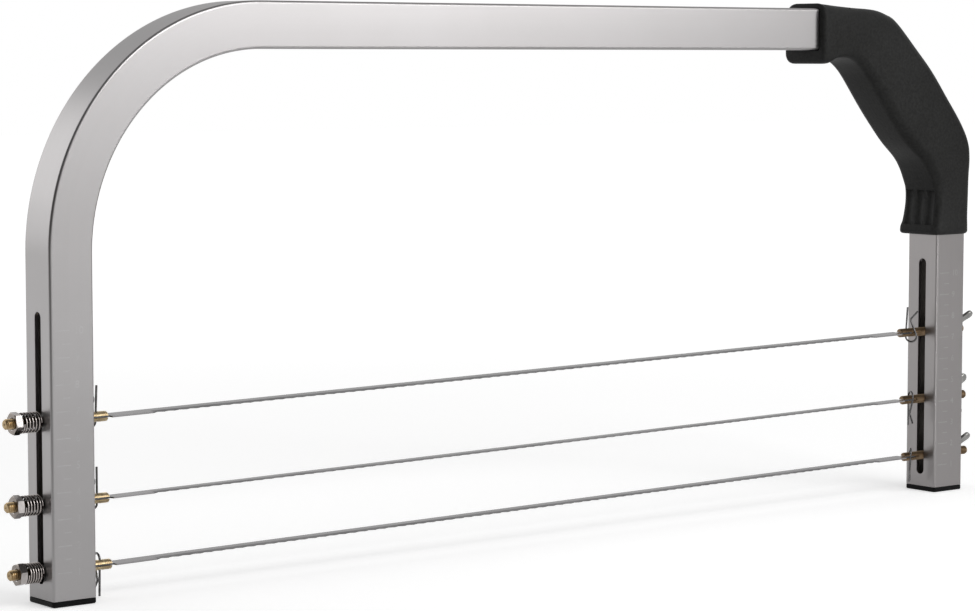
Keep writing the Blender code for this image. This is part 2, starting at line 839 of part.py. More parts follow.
def make_washer(name, where):
    profile = [
        (washer_radius, washer_thickness), (washer_radius, 0),
        (stud_bore, 0), (stud_bore, washer_thickness),
    ]
    return finish(turned(name, profile, ring=True), "bright_steel", **where)


def wing_outline():
    """One wing in a plane, from inside the hub to its rounded tip."""
    half_span = wing_span / 2
    low = wing_height * wing_root_low_share
    high = wing_height * wing_root_high_share
    belly = (half_span * wing_belly_share[0], wing_height * wing_belly_share[1])
    waist = (half_span * wing_waist_share[0], wing_height * wing_waist_share[1])
    tip = (half_span - wing_tip_radius, wing_height - wing_tip_radius)
    root = stud_bore + wing_thickness / 2
    points = [(root, low), belly]
    points += arc(tip, wing_tip_radius, wing_tip_start, wing_tip_end, corner_steps * 2)
    points += [waist, (root, high)]
    return points


def make_wing_nut(name, where):
    """A wing nut with its seat at z = 0 and its wings along +X and -X, leaning out to +Z."""
    hub = [
        (wing_neck_radius, wing_hub_height), (wing_hub_radius, wing_hub_height / 2),
        (wing_hub_radius, 0), (stud_bore, 0), (stud_bore, wing_hub_height),
    ]
    nut = turned(name, hub, ring=True)
    for label, side in (("a", 1), ("b", -1)):
        points = [(side * x, z) for x, z in wing_outline()]
        wing = plate(f"{name}_wing_{label}", [points], wing_thickness / 2)
        wing.data.transform(turn_about("X"))
        cut(nut, cutter(wing, **where), "UNION")
    return finish(nut, "bright_steel", **where)


def make_blade_set(name, row):
    """A blade with all that carries it, hung on an empty for each way that it moves."""
    height = row["left_height"]
    at_leg = (left_inner_face, 0, height)
    carriage = place(bpy.data.objects.new(name + "_height", None), parts, location=at_leg)
    line = bpy.data.objects.new(name + "_tension", None)
    place(line, parts, location=at_leg, parent=carriage)

    left_end = left_inner_face + row["left_inside"]
    right_end = right_inner_face - row["right_inside"]
    right_height, roll = row["right_height"], row["roll"]

    def at(parent, x, z, *turns, order="ZYX"):
        return {"location": (x, 0, z), "rotation": turns, "parent": parent, "order": order}

    right_way, left_way = quarter_turn, -quarter_turn
    left_stud_at = at(line, left_end, height, roll, right_way, 0)
    make_stud(name + "_left_stud", left_stud_length, left_stud_at)
    right_stud_at = at(line, right_end, right_height, roll, left_way, 0)
    make_stud(name + "_right_stud", right_stud_length, right_stud_at)
    left_pin = (left_end - stud_pin_setback, height)
    right_pin = (right_end + stud_pin_setback, right_height)
    run = Vector(right_pin) - Vector(left_pin)
    slant = -math.degrees(math.atan2(run.y, run.x))
    make_blade(name + "_blade", run.length, at(line, *left_pin, roll, slant, 0, order="XYZ"))
    for side, pin in (("left", left_pin), ("right", right_pin)):
        clip_at = at(line, *pin, roll, 0, row[side + "_clip_turn"])
        make_clip(f"{name}_{side}_clip", row[side + "_clip"], clip_at)

    nut_seat = left_end - left_stud_length + stud_past_nut + nut_height
    nut_at = at(line, nut_seat, height, row["nut_turn"], left_way, 0)
    make_nut(name + "_tension_nut", nut_at)
    make_spring(name + "_spring", left_face - nut_seat, at(carriage, left_face, height, 0, left_way, 0))
    washer_seat = right_face + joint_gap
    make_washer(name + "_washer", at(carriage, washer_seat, right_height, 0, right_way, 0))
    wing_seat = washer_seat + washer_thickness + joint_gap
    wing_at = at(carriage, wing_seat, right_height, row["wing_turn"], right_way, 0)
    make_wing_nut(name + "_wing_nut", wing_at)


make_frame()
make_right_leg()
make_foot_cap("left_foot_cap", left_leg_middle)
make_foot_cap("right_foot_cap", right_leg_middle)
make_grip_half("grip_front_half", -1)
make_grip_half("grip_back_half", 1)
for screw_name, screw_place in zip(("bar", "upper", "lower", "leg"), screw_places()):
    make_grip_screw(screw_name + "_grip_screw", *screw_place)
for row_name, blade_row in blade_rows.items():
    make_blade_set(row_name, blade_row)
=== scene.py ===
import math

import bmesh
import bpy
from mathutils import Euler, Matrix, Vector


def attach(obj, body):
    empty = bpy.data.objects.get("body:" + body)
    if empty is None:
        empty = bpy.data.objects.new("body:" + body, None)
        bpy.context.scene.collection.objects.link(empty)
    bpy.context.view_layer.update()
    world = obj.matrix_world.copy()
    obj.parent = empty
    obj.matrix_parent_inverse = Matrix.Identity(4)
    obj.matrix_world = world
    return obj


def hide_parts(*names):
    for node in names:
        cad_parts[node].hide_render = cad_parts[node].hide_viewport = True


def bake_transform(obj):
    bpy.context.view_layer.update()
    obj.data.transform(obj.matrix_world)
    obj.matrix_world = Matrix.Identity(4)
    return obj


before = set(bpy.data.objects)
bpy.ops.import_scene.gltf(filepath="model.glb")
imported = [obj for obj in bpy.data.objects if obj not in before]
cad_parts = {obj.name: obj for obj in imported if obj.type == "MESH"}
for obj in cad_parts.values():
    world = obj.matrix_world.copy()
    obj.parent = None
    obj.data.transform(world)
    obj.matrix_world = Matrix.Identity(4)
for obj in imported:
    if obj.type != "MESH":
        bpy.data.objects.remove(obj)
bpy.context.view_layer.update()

mm = 0.001
scene = bpy.context.scene


def addObject(name, data):
    item = bpy.data.objects.new(name, data)
    scene.collection.objects.link(item)
    return item


# Camera at the photograph's angle
cameraValues = {
    "place": (-0.799075, -0.9730, 0.2079), "tilt": 4.822, "swing": 38.224,
    "focalLength": 2931.3, "imageWidth": 975, "sensor": 36.0, "clip": (0.05, 50),
}


def makeCamera(values):
    lens = bpy.data.cameras.new("camera")
    lens.sensor_width = values["sensor"]
    lens.lens = values["focalLength"] * values["sensor"] / values["imageWidth"]
    lens.clip_start, lens.clip_end = values["clip"]
    camera = addObject("camera", lens)
    camera.location = values["place"]
    camera.rotation_euler = (math.radians(90 - values["tilt"]), 0, -math.radians(values["swing"]))
    scene.camera = camera


makeCamera(cameraValues)
scene.view_settings.view_transform = "Standard"
print("camera made")

# Small helpers for nodes
def addNode(tree, kind, place=(0, 0), **settings):
    node = tree.nodes.new(kind)
    node.location = place
    for key, value in settings.items():
        setattr(node, key, value)
    return node


def feed(tree, value, target):
    # a socket is linked, a plain number or colour is set
    if isinstance(value, bpy.types.NodeSocket):
        tree.links.new(value, target)
    elif isinstance(value, tuple):
        target.default_value = (*value, 1)[:len(target.default_value)]
    else:
        target.default_value = value


def mixColours(tree, share, first, second, place, blend="MIX"):
    node = addNode(tree, "ShaderNodeMix", place, data_type="RGBA", blend_type=blend)
    for index, value in ((0, share), (6, first), (7, second)):
        feed(tree, value, node.inputs[index])
    return node.outputs[2]


def combined(tree, operation, values, place):
    node = addNode(tree, "ShaderNodeMath", place, operation=operation)
    for value, target in zip(values, node.inputs):
        feed(tree, value, target)
    return node.outputs[0]


def mapped(tree, source, before, after, place, **settings):
    # stretches a mask from one pair of ends to another
    node = addNode(tree, "ShaderNodeMapRange", place, **settings)
    for value, target in zip((source, *before, *after), node.inputs):
        feed(tree, value, target)
    return node.outputs[0]


def ramp(tree, source, stops, place):
    node = addNode(tree, "ShaderNodeValToRGB", place)
    elements = node.color_ramp.elements
    while len(elements) < len(stops):
        elements.new(0.5)
    for element, (position, value) in zip(elements, stops):
        element.position = position
        element.color = (*value, 1) if isinstance(value, tuple) else (value, value, value, 1)
    feed(tree, source, node.inputs[0])
    return node.outputs[0]


def splitOf(tree, vector, place):
    node = addNode(tree, "ShaderNodeSeparateXYZ", place)
    feed(tree, vector, node.inputs[0])
    return node.outputs


def stretchedNoise(tree, vector, stretch, detail, place):
    mapping = addNode(tree, "ShaderNodeMapping", (place[0] - 200, place[1]))
    feed(tree, stretch, mapping.inputs["Scale"])
    feed(tree, vector, mapping.inputs["Vector"])
    node = addNode(tree, "ShaderNodeTexNoise", place)
    node.inputs["Scale"].default_value = 1.0
    node.inputs["Detail"].default_value = detail
    feed(tree, mapping.outputs[0], node.inputs["Vector"])
    return node.outputs[0]


def startMaterial(name, metallic, roughness, attribute=None):
    # a plain material, and the coordinates that its pattern follows
    material = bpy.data.materials.new(name)
    material.use_nodes = True
    tree = material.node_tree
    shader = tree.nodes["Principled BSDF"]
    shader.inputs["Metallic"].default_value = metallic
    shader.inputs["Roughness"].default_value = roughness
    if attribute:
        source = addNode(tree, "ShaderNodeAttribute", (-1500, 0), attribute_name=attribute)
        return material, tree, shader, source.outputs["Vector"]
    source = addNode(tree, "ShaderNodeTexCoord", (-1500, 0))
    return material, tree, shader, source.outputs["Object"]


# Studio: pale floor, plain world, soft lamps
studioValues = {
    "worldLight": 0.50, "horizonGlow": 1.0, "floorColour": (0.84, 0.84, 0.84),
    "floorLift": (0.42, 0.62), "floorReach": (0.35, 1.6),
    "glossyLift": 0.34, "glossyReach": (-0.35, 0.55), "floorHalf": 6.0, "floorDrop": 0.05 * mm,
    # what metal sees, by height and by how far it lies towards the right, the back and the left
    "overhead": ((0.45, 1.0), (0.68, 0.55), (0.88, 0.22)),
    "sweeps": (
        ((0.93, -0.30, -0.20), ((0.66, 1.0), (0.77, 0.80), (0.865, 0.42), (0.905, 0.12), (1.0, 0.05))),
        ((0.62, 0.78, 0.12), ((0.60, 1.0), (0.74, 0.86), (0.86, 0.68), (0.97, 0.60))),
        ((-0.95, -0.30, 0.05), ((0.36, 1.0), (0.66, 0.22), (1.0, 0.05))),
    ),
    # name: place, target, width, height, watts
    "lamps": {
        "frontSoftbox": ((0.35, -1.8, 1.5), (0.0, 0.0, 0.1), 1.4, 0.9, 15.0),
        "barStrip": ((1.35, -1.96, 0.68), (0.0, 0.0, 0.2), 0.9, 0.7, 8.4),
        "backSoftbox": ((-0.90, 1.45, 0.78), (-0.2, 0.0, 0.17), 1.0, 0.7, 1.2),
        "leftStrip": ((-1.25, 1.15, 0.30), (-0.2, 0.0, 0.15), 0.6, 0.4, 0.5),
        "cornerStrip": ((0.05, -0.26, 0.06), (0.242, -0.01, 0.06), 0.05, 0.14, 0.09),
    },
}
white = (1, 1, 1)


def shownRays(tree, rays, place):
    # where the background is seen itself, or through glass
    return combined(tree, "MAXIMUM", (rays["Is Camera Ray"], rays["Is Transmission Ray"]), place)


def makeWorld(values):
    world = bpy.data.worlds.new("studio")
    world.use_nodes = True
    scene.world = world
    tree = world.node_tree
    tree.nodes.clear()
    rays = addNode(tree, "ShaderNodeLightPath", (-800, 300)).outputs
    direction = addNode(tree, "ShaderNodeTexCoord", (-1200, 0)).outputs["Generated"]
    height = splitOf(tree, direction, (-1000, 0))["Z"]
    seen = ramp(tree, height, values["overhead"], (-780, 0))
    for number, (way, stops) in enumerate(values["sweeps"], 1):
        turned = addNode(tree, "ShaderNodeVectorMath", (-1000, -220 * number), operation="DOT_PRODUCT")
        feed(tree, direction, turned.inputs[0])
        feed(tree, tuple(Vector(way).normalized()), turned.inputs[1])
        sweep = ramp(tree, turned.outputs["Value"], stops, (-780, -220 * number))
        seen = mixColours(tree, 1.0, seen, sweep, (-640 + 160 * number, -400), "MULTIPLY")

    def background(colour, strength, place):
        node = addNode(tree, "ShaderNodeBackground", place)
        feed(tree, colour, node.inputs["Color"])
        feed(tree, strength, node.inputs["Strength"])
        return node.outputs[0]

    def chosen(share, first, second, place):
        node = addNode(tree, "ShaderNodeMixShader", place)
        for value, target in zip((share, first, second), node.inputs):
            feed(tree, value, target)
        return node.outputs[0]

    lit = chosen(rays["Is Glossy Ray"], background(white, values["worldLight"], (-100, 100)),
                 background(seen, 1.0, (-100, -100)), (150, 0))
    surface = chosen(shownRays(tree, rays, (150, 250)), lit,
                     background(white, values["horizonGlow"], (-100, -300)), (350, 0))
    feed(tree, surface, addNode(tree, "ShaderNodeOutputWorld", (550, 0)).inputs[0])


def makeFloor(values):
    shape = bmesh.new()
    bmesh.ops.create_grid(shape, x_segments=1, y_segments=1, size=values["floorHalf"])
    bmesh.ops.translate(shape, vec=(0, 0, -values["floorDrop"]), verts=shape.verts)
    mesh = bpy.data.meshes.new("floor")
    shape.to_mesh(mesh)
    shape.free()
    paper, tree, shader, where = startMaterial("paleFloor", 0.0, 1.0)
    feed(tree, values["floorColour"], shader.inputs["Base Color"])
    shader.inputs["Specular IOR Level"].default_value = 0.0
    rays = addNode(tree, "ShaderNodeLightPath", (-600, -300)).outputs
    # the paper is white a little way off, and keeps its tone and the shadow near the object
    reach = addNode(tree, "ShaderNodeVectorMath", (-800, -500), operation="LENGTH")
    feed(tree, where, reach.inputs[0])
    fade = mapped(tree, reach.outputs["Value"], values["floorReach"], values["floorLift"], (-600, -500),
                  interpolation_type="SMOOTHSTEP")
    # metal shows the white floor that lies behind the object
    behind = mapped(tree, splitOf(tree, where, (-800, -750))["Y"], values["glossyReach"],
                    (0.0, values["glossyLift"]), (-600, -750), interpolation_type="SMOOTHSTEP")
    mirrored = combined(tree, "MULTIPLY", (rays["Is Glossy Ray"], behind), (-400, -750))
    lift = combined(tree, "MULTIPLY_ADD", (shownRays(tree, rays, (-400, -300)), fade, mirrored), (-200, -300))
    feed(tree, white, shader.inputs["Emission Color"])
    feed(tree, lift, shader.inputs["Emission Strength"])
    mesh.materials.append(paper)
    floor = addObject("floor", mesh)


def makeLamps(values):
    for name, (place, target, width, height, power) in values["lamps"].items():
        lamp = bpy.data.lights.new(name, "AREA")
        lamp.shape = "RECTANGLE"
        lamp.size, lamp.size_y, lamp.energy = width, height, power
        item = addObject(name, lamp)
        item.location = place
        way = Vector(target) - Vector(place)
        item.rotation_euler = way.to_track_quat("-Z", "Y").to_euler()
        item.visible_camera = False


makeWorld(studioValues)
makeFloor(studioValues)
makeLamps(studioValues)
print("studio made")


# Shared effects, each a node group with named sockets
def newGroup(name, inputs, outputs):
    group = bpy.data.node_groups.new(name, "ShaderNodeTree")
    for label, kind, value in inputs:
        socket = group.interface.new_socket(label, in_out="INPUT", socket_type=kind)
        if value is not None:
            socket.default_value = value
    for label in outputs:
        group.interface.new_socket(label, in_out="OUTPUT", socket_type="NodeSocketFloat")
    given = addNode(group, "NodeGroupInput", (-900, 0)).outputs
    return group, given, addNode(group, "NodeGroupOutput", (700, 0)).inputs


handlingValues = {
    "cloudDetail": 4, "speckDetail": 2, "bendScale": 12.0, "bend": (0.02, 0.02, 0.02),
    "scratch": ((0.0, 1.0), (0.012, 0.0)), "gaps": ((0.52, 0.0), (0.66, 1.0)),
}
# stretch along X, Y and Z, and detail
lineValues = {"fine": ((9, 3000, 3000), 4), "broad": ((4, 420, 420), 3), "share": 0.5}


def makeHandling(values):
    # Cloudy variation, fine specks and long scratches, from any coordinates
    group, given, result = newGroup(
        "handling",
        (("Vector", "NodeSocketVector", None), ("Cloud Scale", "NodeSocketFloat", 40.0),
         ("Speck Scale", "NodeSocketFloat", 900.0), ("Scratch Scale", "NodeSocketFloat", 260.0)),
        ("Cloud", "Specks", "Scratches"),
    )
    cloud = addNode(group, "ShaderNodeTexNoise", (-500, 300))
    cloud.inputs["Detail"].default_value = values["cloudDetail"]
    specks = addNode(group, "ShaderNodeTexNoise", (-500, 50))
    specks.inputs["Detail"].default_value = values["speckDetail"]
    bend = addNode(group, "ShaderNodeTexNoise", (-700, -250))
    bend.inputs["Scale"].default_value = values["bendScale"]
    bent = addNode(group, "ShaderNodeVectorMath", (-500, -250), operation="MULTIPLY_ADD")
    bent.inputs[1].default_value = values["bend"]
    marks = addNode(group, "ShaderNodeTexVoronoi", (-300, -250), feature="DISTANCE_TO_EDGE")
    marks.inputs["Randomness"].default_value = 1.0
    for target in (cloud.inputs["Vector"], specks.inputs["Vector"], bend.inputs["Vector"], bent.inputs[2]):
        feed(group, given["Vector"], target)
    for label, node in (("Cloud Scale", cloud), ("Speck Scale", specks), ("Scratch Scale", marks)):
        feed(group, given[label], node.inputs["Scale"])
    feed(group, bend.outputs["Color"], bent.inputs[0])
    feed(group, bent.outputs[0], marks.inputs["Vector"])
    feed(group, cloud.outputs[0], result["Cloud"])
    feed(group, specks.outputs[0], result["Specks"])
    # scratches gather where the cloud is dense
    line = ramp(group, marks.outputs["Distance"], values["scratch"], (-100, -250))
    gaps = ramp(group, cloud.outputs[0], values["gaps"], (-100, 150))
    feed(group, combined(group, "MULTIPLY", (line, gaps), (200, -100)), result["Scratches"])
    return group


def makeDrawnLines(values):
    # Fine lines that run along one way, as on drawn or ground metal
    group, given, result = newGroup(
        "drawnLines",
        (("Vector", "NodeSocketVector", None), ("Fineness", "NodeSocketFloat", 1.0)), ("Lines",),
    )
    scaled = addNode(group, "ShaderNodeVectorMath", (-600, 0), operation="SCALE")
    feed(group, given["Vector"], scaled.inputs[0])
    feed(group, given["Fineness"], scaled.inputs["Scale"])
    fine = stretchedNoise(group, scaled.outputs[0], *values["fine"], (-200, 150))
    broad = stretchedNoise(group, scaled.outputs[0], *values["broad"], (-200, -150))
    faint = combined(group, "MULTIPLY", (fine, values["share"]), (0, 200))
    feed(group, combined(group, "MULTIPLY_ADD", (broad, values["share"], faint), (200, 0)), result["Lines"])
    return group


handling = makeHandling(handlingValues)
drawnLines = makeDrawnLines(lineValues)


def useGroup(tree, group, place, vector, **values):
    node = addNode(tree, "ShaderNodeGroup", place, node_tree=group)
    feed(tree, vector, node.inputs["Vector"])
    for label, value in values.items():
        node.inputs[label].default_value = value
    return node.outputs


def bump(tree, shader, height, distance, strength):
    node = addNode(tree, "ShaderNodeBump", (-300, -400))
    node.inputs["Distance"].default_value = distance
    node.inputs["Strength"].default_value = strength
    feed(tree, height, node.inputs["Height"])
    feed(tree, node.outputs[0], shader.inputs["Normal"])


def patinaAndShadeBy(tree, vector, patina):
    # a tone for patina and painted shade, that follows the object's X, or an attribute of the piece
    if patina["attribute"]:
        source = addNode(tree, "ShaderNodeAttribute", (-1200, 700), attribute_name=patina["attribute"])
        place = source.outputs["Fac"]
    else:
        place = splitOf(tree, vector, (-1200, 700))["X"]
    across = mapped(tree, place, patina["span"], (0.0, 1.0), (-1000, 700))
    return ramp(tree, across, patina["stops"], (-800, 700))


# Where the two tones and the shade of the lines lie in their masks, and how deep lines and grain are
effectValues = {
    "tones": (0.32, 0.68), "lineStops": (0.34, 0.62), "lineDepth": 0.02 * mm, "grainDepth": 0.01 * mm,
    "grainStrength": 0.4, "wornGain": 1.25,
    "plasticTones": (0.30, 0.70), "plasticCloud": 26.0, "plasticScratch": 180.0, "plasticStrength": 0.8,
    "speckle": ((0.30, 0.72), (0.66, 1.12)),
    "printMetallic": 0.9, "printRoughness": 0.38, "printCloud": 300.0, "printTones": (0.3, 0.7),
}


def toned(tree, marks, places, dark, light):
    return ramp(tree, marks["Cloud"], tuple(zip(places, (dark, light))), (-800, 300))


def metal(name, light, dark, roughness, cloud, scratches, attribute=None, fineness=None, lineStrength=0.0,
          lineShade=1.0, patina=None):
    values = effectValues
    material, tree, shader, vector = startMaterial(name, 1.0, roughness[0], attribute)
    marks = useGroup(tree, handling, (-1200, 200), vector, **{"Cloud Scale": cloud})
    tone = toned(tree, marks, values["tones"], dark, light)
    rough = mapped(tree, marks["Specks"], (0.0, 1.0), roughness, (-800, -100))
    if fineness:
        drawn = useGroup(tree, drawnLines, (-1200, -200), vector, Fineness=fineness)
        shade = ramp(tree, drawn["Lines"], tuple(zip(values["lineStops"], (lineShade, 1.0))), (-1000, 500))
        tone = mixColours(tree, 1.0, tone, shade, (-500, 350), "MULTIPLY")
        bump(tree, shader, drawn["Lines"], values["lineDepth"], lineStrength)
    else:
        bump(tree, shader, marks["Specks"], values["grainDepth"], values["grainStrength"])
    bright = tuple(min(1.0, value * values["wornGain"]) for value in light)
    worn = combined(tree, "MULTIPLY", (marks["Scratches"], scratches), (-700, 100))
    tone = mixColours(tree, worn, tone, bright, (-300, 300))
    if patina:
        tone = mixColours(tree, 1.0, tone, patinaAndShadeBy(tree, vector, patina), (-100, 400), "MULTIPLY")
    feed(tree, tone, shader.inputs["Base Color"])
    feed(tree, rough, shader.inputs["Roughness"])
    return material


def plastic(name, light, dark, roughness, grain, grainDepth, gloss):
    values = effectValues
    material, tree, shader, vector = startMaterial(name, 0.0, roughness[0])
    shader.inputs["Specular IOR Level"].default_value = gloss
    marks = useGroup(tree, handling, (-1200, 200), vector, **{
        "Cloud Scale": values["plasticCloud"], "Speck Scale": grain, "Scratch Scale": values["plasticScratch"]})
    tone = toned(tree, marks, values["plasticTones"], dark, light)
    speckle = ramp(tree, marks["Specks"], values["speckle"], (-800, 500))
    feed(tree, mixColours(tree, 1.0, tone, speckle, (-500, 350), "MULTIPLY"), shader.inputs["Base Color"])
    feed(tree, mapped(tree, marks["Specks"], (0.0, 1.0), roughness, (-800, -100)), shader.inputs["Roughness"])
    bump(tree, shader, marks["Specks"], grainDepth, values["plasticStrength"])
    return material


def printed(name, light, dark):
    # a matt, slightly paler tone than the tube
    values = effectValues
    material, tree, shader, vector = startMaterial(name, values["printMetallic"], values["printRoughness"])
    marks = useGroup(tree, handling, (-1200, 200), vector, **{"Cloud Scale": values["printCloud"]})
    feed(tree, toned(tree, marks, values["printTones"], dark, light), shader.inputs["Base Color"])
    return material


# Patinas and painted shade: tones along a span of the object's X or of an attribute.
# Brass is brown at its outer left end and keeps its clean tone between the legs; painted shade makes it black under
# the springs and inside the left leg, and darker at the right.
brassPatinaAndShade = {"attribute": None, "span": (-0.27, 0.27), "stops": (
    (0.016, (0.64, 0.56, 0.46)), (0.021, (0.07, 0.06, 0.05)), (0.050, (0.07, 0.06, 0.05)), (0.078, white),
    (0.500, white), (0.880, (0.32, 0.265, 0.235)), (0.985, (0.40, 0.34, 0.31)),
)}
# Painted shade: a darker stripe along the outer corners of the left leg, strongest where the bend starts and fading
# out towards the foot and along the bend
paintedCornerShade = {"attribute": "outerCornerShade", "span": (0.0, 1.0), "stops": ((0.22, white), (1.0, (0.46, 0.45, 0.44)))}
# Painted shade: the wire is near black on the inside of its coils and between them, and keeps its bright tone only
# on their outside, as a painted highlight
paintedWireShade = {"attribute": "crest", "span": (0.0, 1.0), "stops": (
    (0.0, (0.03, 0.026, 0.024)), (0.72, (0.05, 0.044, 0.042)), (0.94, white), (1.0, white),
)}
# Finishes. Colours are plain linear values: light and dark are the two ends of the variation.
tubeLines = {"attribute": "tubeWay", "fineness": 1.0, "lineStrength": 0.03, "lineShade": 0.985}
bladeLines = {"fineness": 1.0, "lineStrength": 0.05, "lineShade": 0.94}
groundLines = {"fineness": 1.6, "lineStrength": 0.1, "lineShade": 0.85}
# key: name, light, dark, roughness, cloud scale, scratches, and the lines, patina and painted shade it has
metalValues = {
    "tube": ("satinAluminium", (0.433, 0.421, 0.422), (0.415, 0.402, 0.402), (0.300, 0.315), 16.0, 0.12,
             {"patina": paintedCornerShade, **tubeLines}),
    # the right leg is the same aluminium as the frame tube, painted darker as shade
    "shadedRightTube": ("rightAluminium", (0.362, 0.345, 0.343), (0.346, 0.329, 0.327), (0.300, 0.315), 16.0, 0.12,
                  tubeLines),
    "blade": ("bladeSteel", (0.42, 0.41, 0.415), (0.33, 0.32, 0.325), (0.20, 0.30), 34.0, 0.2, bladeLines),
    "ground": ("groundSteel", (0.29, 0.285, 0.29), (0.17, 0.165, 0.17), (0.28, 0.40), 60.0, 0.2, groundLines),
    "brass": ("brass", (0.86, 0.74, 0.52), (0.66, 0.54, 0.36), (0.30, 0.42), 420.0, 0.5, {"patina": brassPatinaAndShade}),
    "plated": ("platedSteel", (0.66, 0.62, 0.60), (0.46, 0.43, 0.42), (0.06, 0.14), 260.0, 0.3, {}),
    "wing": ("wingSteel", (0.46, 0.455, 0.44), (0.28, 0.278, 0.27), (0.12, 0.22), 240.0, 0.3, {}),
    "turned": ("turnedSteel", (0.40, 0.36, 0.33), (0.24, 0.21, 0.19), (0.16, 0.26), 320.0, 0.3, {}),
    "spring": ("springWire", (0.66, 0.60, 0.57), (0.46, 0.42, 0.40), (0.08, 0.16), 500.0, 0.3,
               {"patina": paintedWireShade}),
    # the inside of the tube: the same aluminium, painted dark as the shade within it
    "bore": ("boreAluminium", (0.19, 0.172, 0.158), (0.13, 0.118, 0.108), (0.50, 0.60), 90.0, 0.1, {}),
    "clip": ("clipWire", (0.20, 0.195, 0.195), (0.10, 0.097, 0.097), (0.20, 0.30), 500.0, 0.3, {}),
    "screw": ("darkScrew", (0.16, 0.16, 0.165), (0.08, 0.08, 0.083), (0.30, 0.46), 300.0, 0.4, {}),
}
# key: name, light, dark, roughness, grain scale, grain depth, gloss
plasticValues = {
    "grip": ("grainedPlastic", (0.0200, 0.0200, 0.0195), (0.0132, 0.0132, 0.0127), (0.38, 0.54),
             820.0, 0.10 * mm, 0.11),
    "cap": ("capPlastic", (0.004, 0.004, 0.004), (0.002, 0.002, 0.002), (0.30, 0.45), 2200.0, 0.02 * mm, 0.12),
}
# key: name, light, dark
printValues = {
    "print": ("scalePrint", (0.475, 0.47, 0.47), (0.425, 0.42, 0.42)),
    # the right leg's print, painted darker as shade like its tube
    "shadedRightPrint": ("shadedRightScalePrint", (0.425, 0.415, 0.413), (0.385, 0.375, 0.373)),
}
finishes = {key: metal(*row[:-1], **row[-1]) for key, row in metalValues.items()}
finishes |= {key: plastic(*row) for key, row in plasticValues.items()}
finishes |= {key: printed(*row) for key, row in printValues.items()}
print("finishes made")


# Mesh helpers
def vertsOf(items):
    return [item for item in items if isinstance(item, bmesh.types.BMVert)]


def edgesOf(items):
    return [item for item in items if isinstance(item, bmesh.types.BMEdge)]


def allOf(shape):
    return shape.verts[:] + shape.edges[:] + shape.faces[:]


def cornersOf(edges):
    return list({vertex for edge in edges for vertex in edge.verts})


def openEdges(edges):
    return [edge for edge in edges if edge.is_boundary]


def sharpEdges(shape, least):
    # edges whose two faces turn by more than the least angle, in degrees
    return [edge for edge in shape.edges if edge.is_manifold and edge.calc_face_angle(0) > math.radians(least)]


def shift(shape, verts, x=0, y=0, z=0):
    bmesh.ops.translate(shape, vec=(x, y, z), verts=verts)


def weld(shape, distance):
    bmesh.ops.remove_doubles(shape, verts=shape.verts, dist=distance)


def faceOutwards(shape):
    bmesh.ops.recalc_face_normals(shape, faces=shape.faces)


def bevel(shape, geom, offset, segments, affect="EDGES", clamp=False):
    bmesh.ops.bevel(shape, geom=geom, offset=offset, offset_type="OFFSET", segments=segments, profile=0.5,
                    affect=affect, material=-1, clamp_overlap=clamp)


def repeat(shape, count, x=0, z=0):
    # copies of all there is, one step further each
    geom = allOf(shape)
    for number in range(1, count):
        copy = bmesh.ops.duplicate(shape, geom=geom)["geom"]
        shift(shape, vertsOf(copy), number * x, 0, number * z)


def thicken(shape, y=0, z=0):
    # a flat shape becomes a solid
    made = bmesh.ops.extrude_face_region(shape, geom=shape.faces[:])["geom"]
    shift(shape, vertsOf(made), 0, y, z)
    faceOutwards(shape)


def meshOf(shape, name="shape"):
    mesh = bpy.data.meshes.new(name)
    shape.to_mesh(mesh)
    shape.free()
    return mesh


def absorb(shape, mesh):
    # the shape takes a mesh in, and the mesh is removed
    shape.from_mesh(mesh)
    bpy.data.meshes.remove(mesh)


def finalMesh(item):
    bpy.context.view_layer.update()
    return bpy.data.meshes.new_from_object(item.evaluated_get(bpy.context.evaluated_depsgraph_get()))


def curveMesh(curve):
    # what a curve or a text shows; the curve itself is removed
    item = addObject("curve", curve)
    mesh = finalMesh(item)
    bpy.data.objects.remove(item)
    bpy.data.curves.remove(curve)
    return mesh


def carved(shape, tools, operation="DIFFERENCE"):
    # a shape with tools cut out of it, joined to it, or only what it shares with them
    block = addObject("block", meshOf(shape))
    helpers = [block]
    for tool in tools:
        helper = addObject("tool", meshOf(tool))
        change = block.modifiers.new("change", "BOOLEAN")
        change.operation, change.object, change.solver = operation, helper, "EXACT"
        helpers.append(helper)
    result = bmesh.new()
    absorb(result, finalMesh(block))
    for helper in helpers:
        old = helper.data
        bpy.data.objects.remove(helper)
        bpy.data.meshes.remove(old)
    return result


def addPiece(name, shape, finish, body, replaced=(), sharp=32, evenNormals=False, extra=()):
    item = addObject(name, meshOf(shape, name))
    for key in (finish, *extra):
        item.data.materials.append(finishes[key])
    item.data.shade_smooth()
    item.data.set_sharp_from_angle(angle=math.radians(sharp))
    if evenNormals:
        even = item.modifiers.new("evenNormals", "WEIGHTED_NORMAL")
        even.keep_sharp = True
    if body:
        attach(item, body)
    if replaced:
        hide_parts(*replaced)
    return item


def boxShape(low, high, edge=0.0, segments=3):
    low, high = Vector(low), Vector(high)
    shape = bmesh.new()
    bmesh.ops.create_cube(shape, size=1)
    bmesh.ops.scale(shape, vec=high - low, verts=shape.verts)
    bmesh.ops.translate(shape, vec=(low + high) / 2, verts=shape.verts)
    if edge:
        bevel(shape, shape.edges[:], edge, segments)
    return shape


def rodShape(radius, low, high, sides):
    shape = bmesh.new()
    bmesh.ops.create_cone(shape, cap_ends=True, segments=sides, radius1=radius, radius2=radius, depth=high - low)
    shift(shape, shape.verts, z=(low + high) / 2)
    return shape


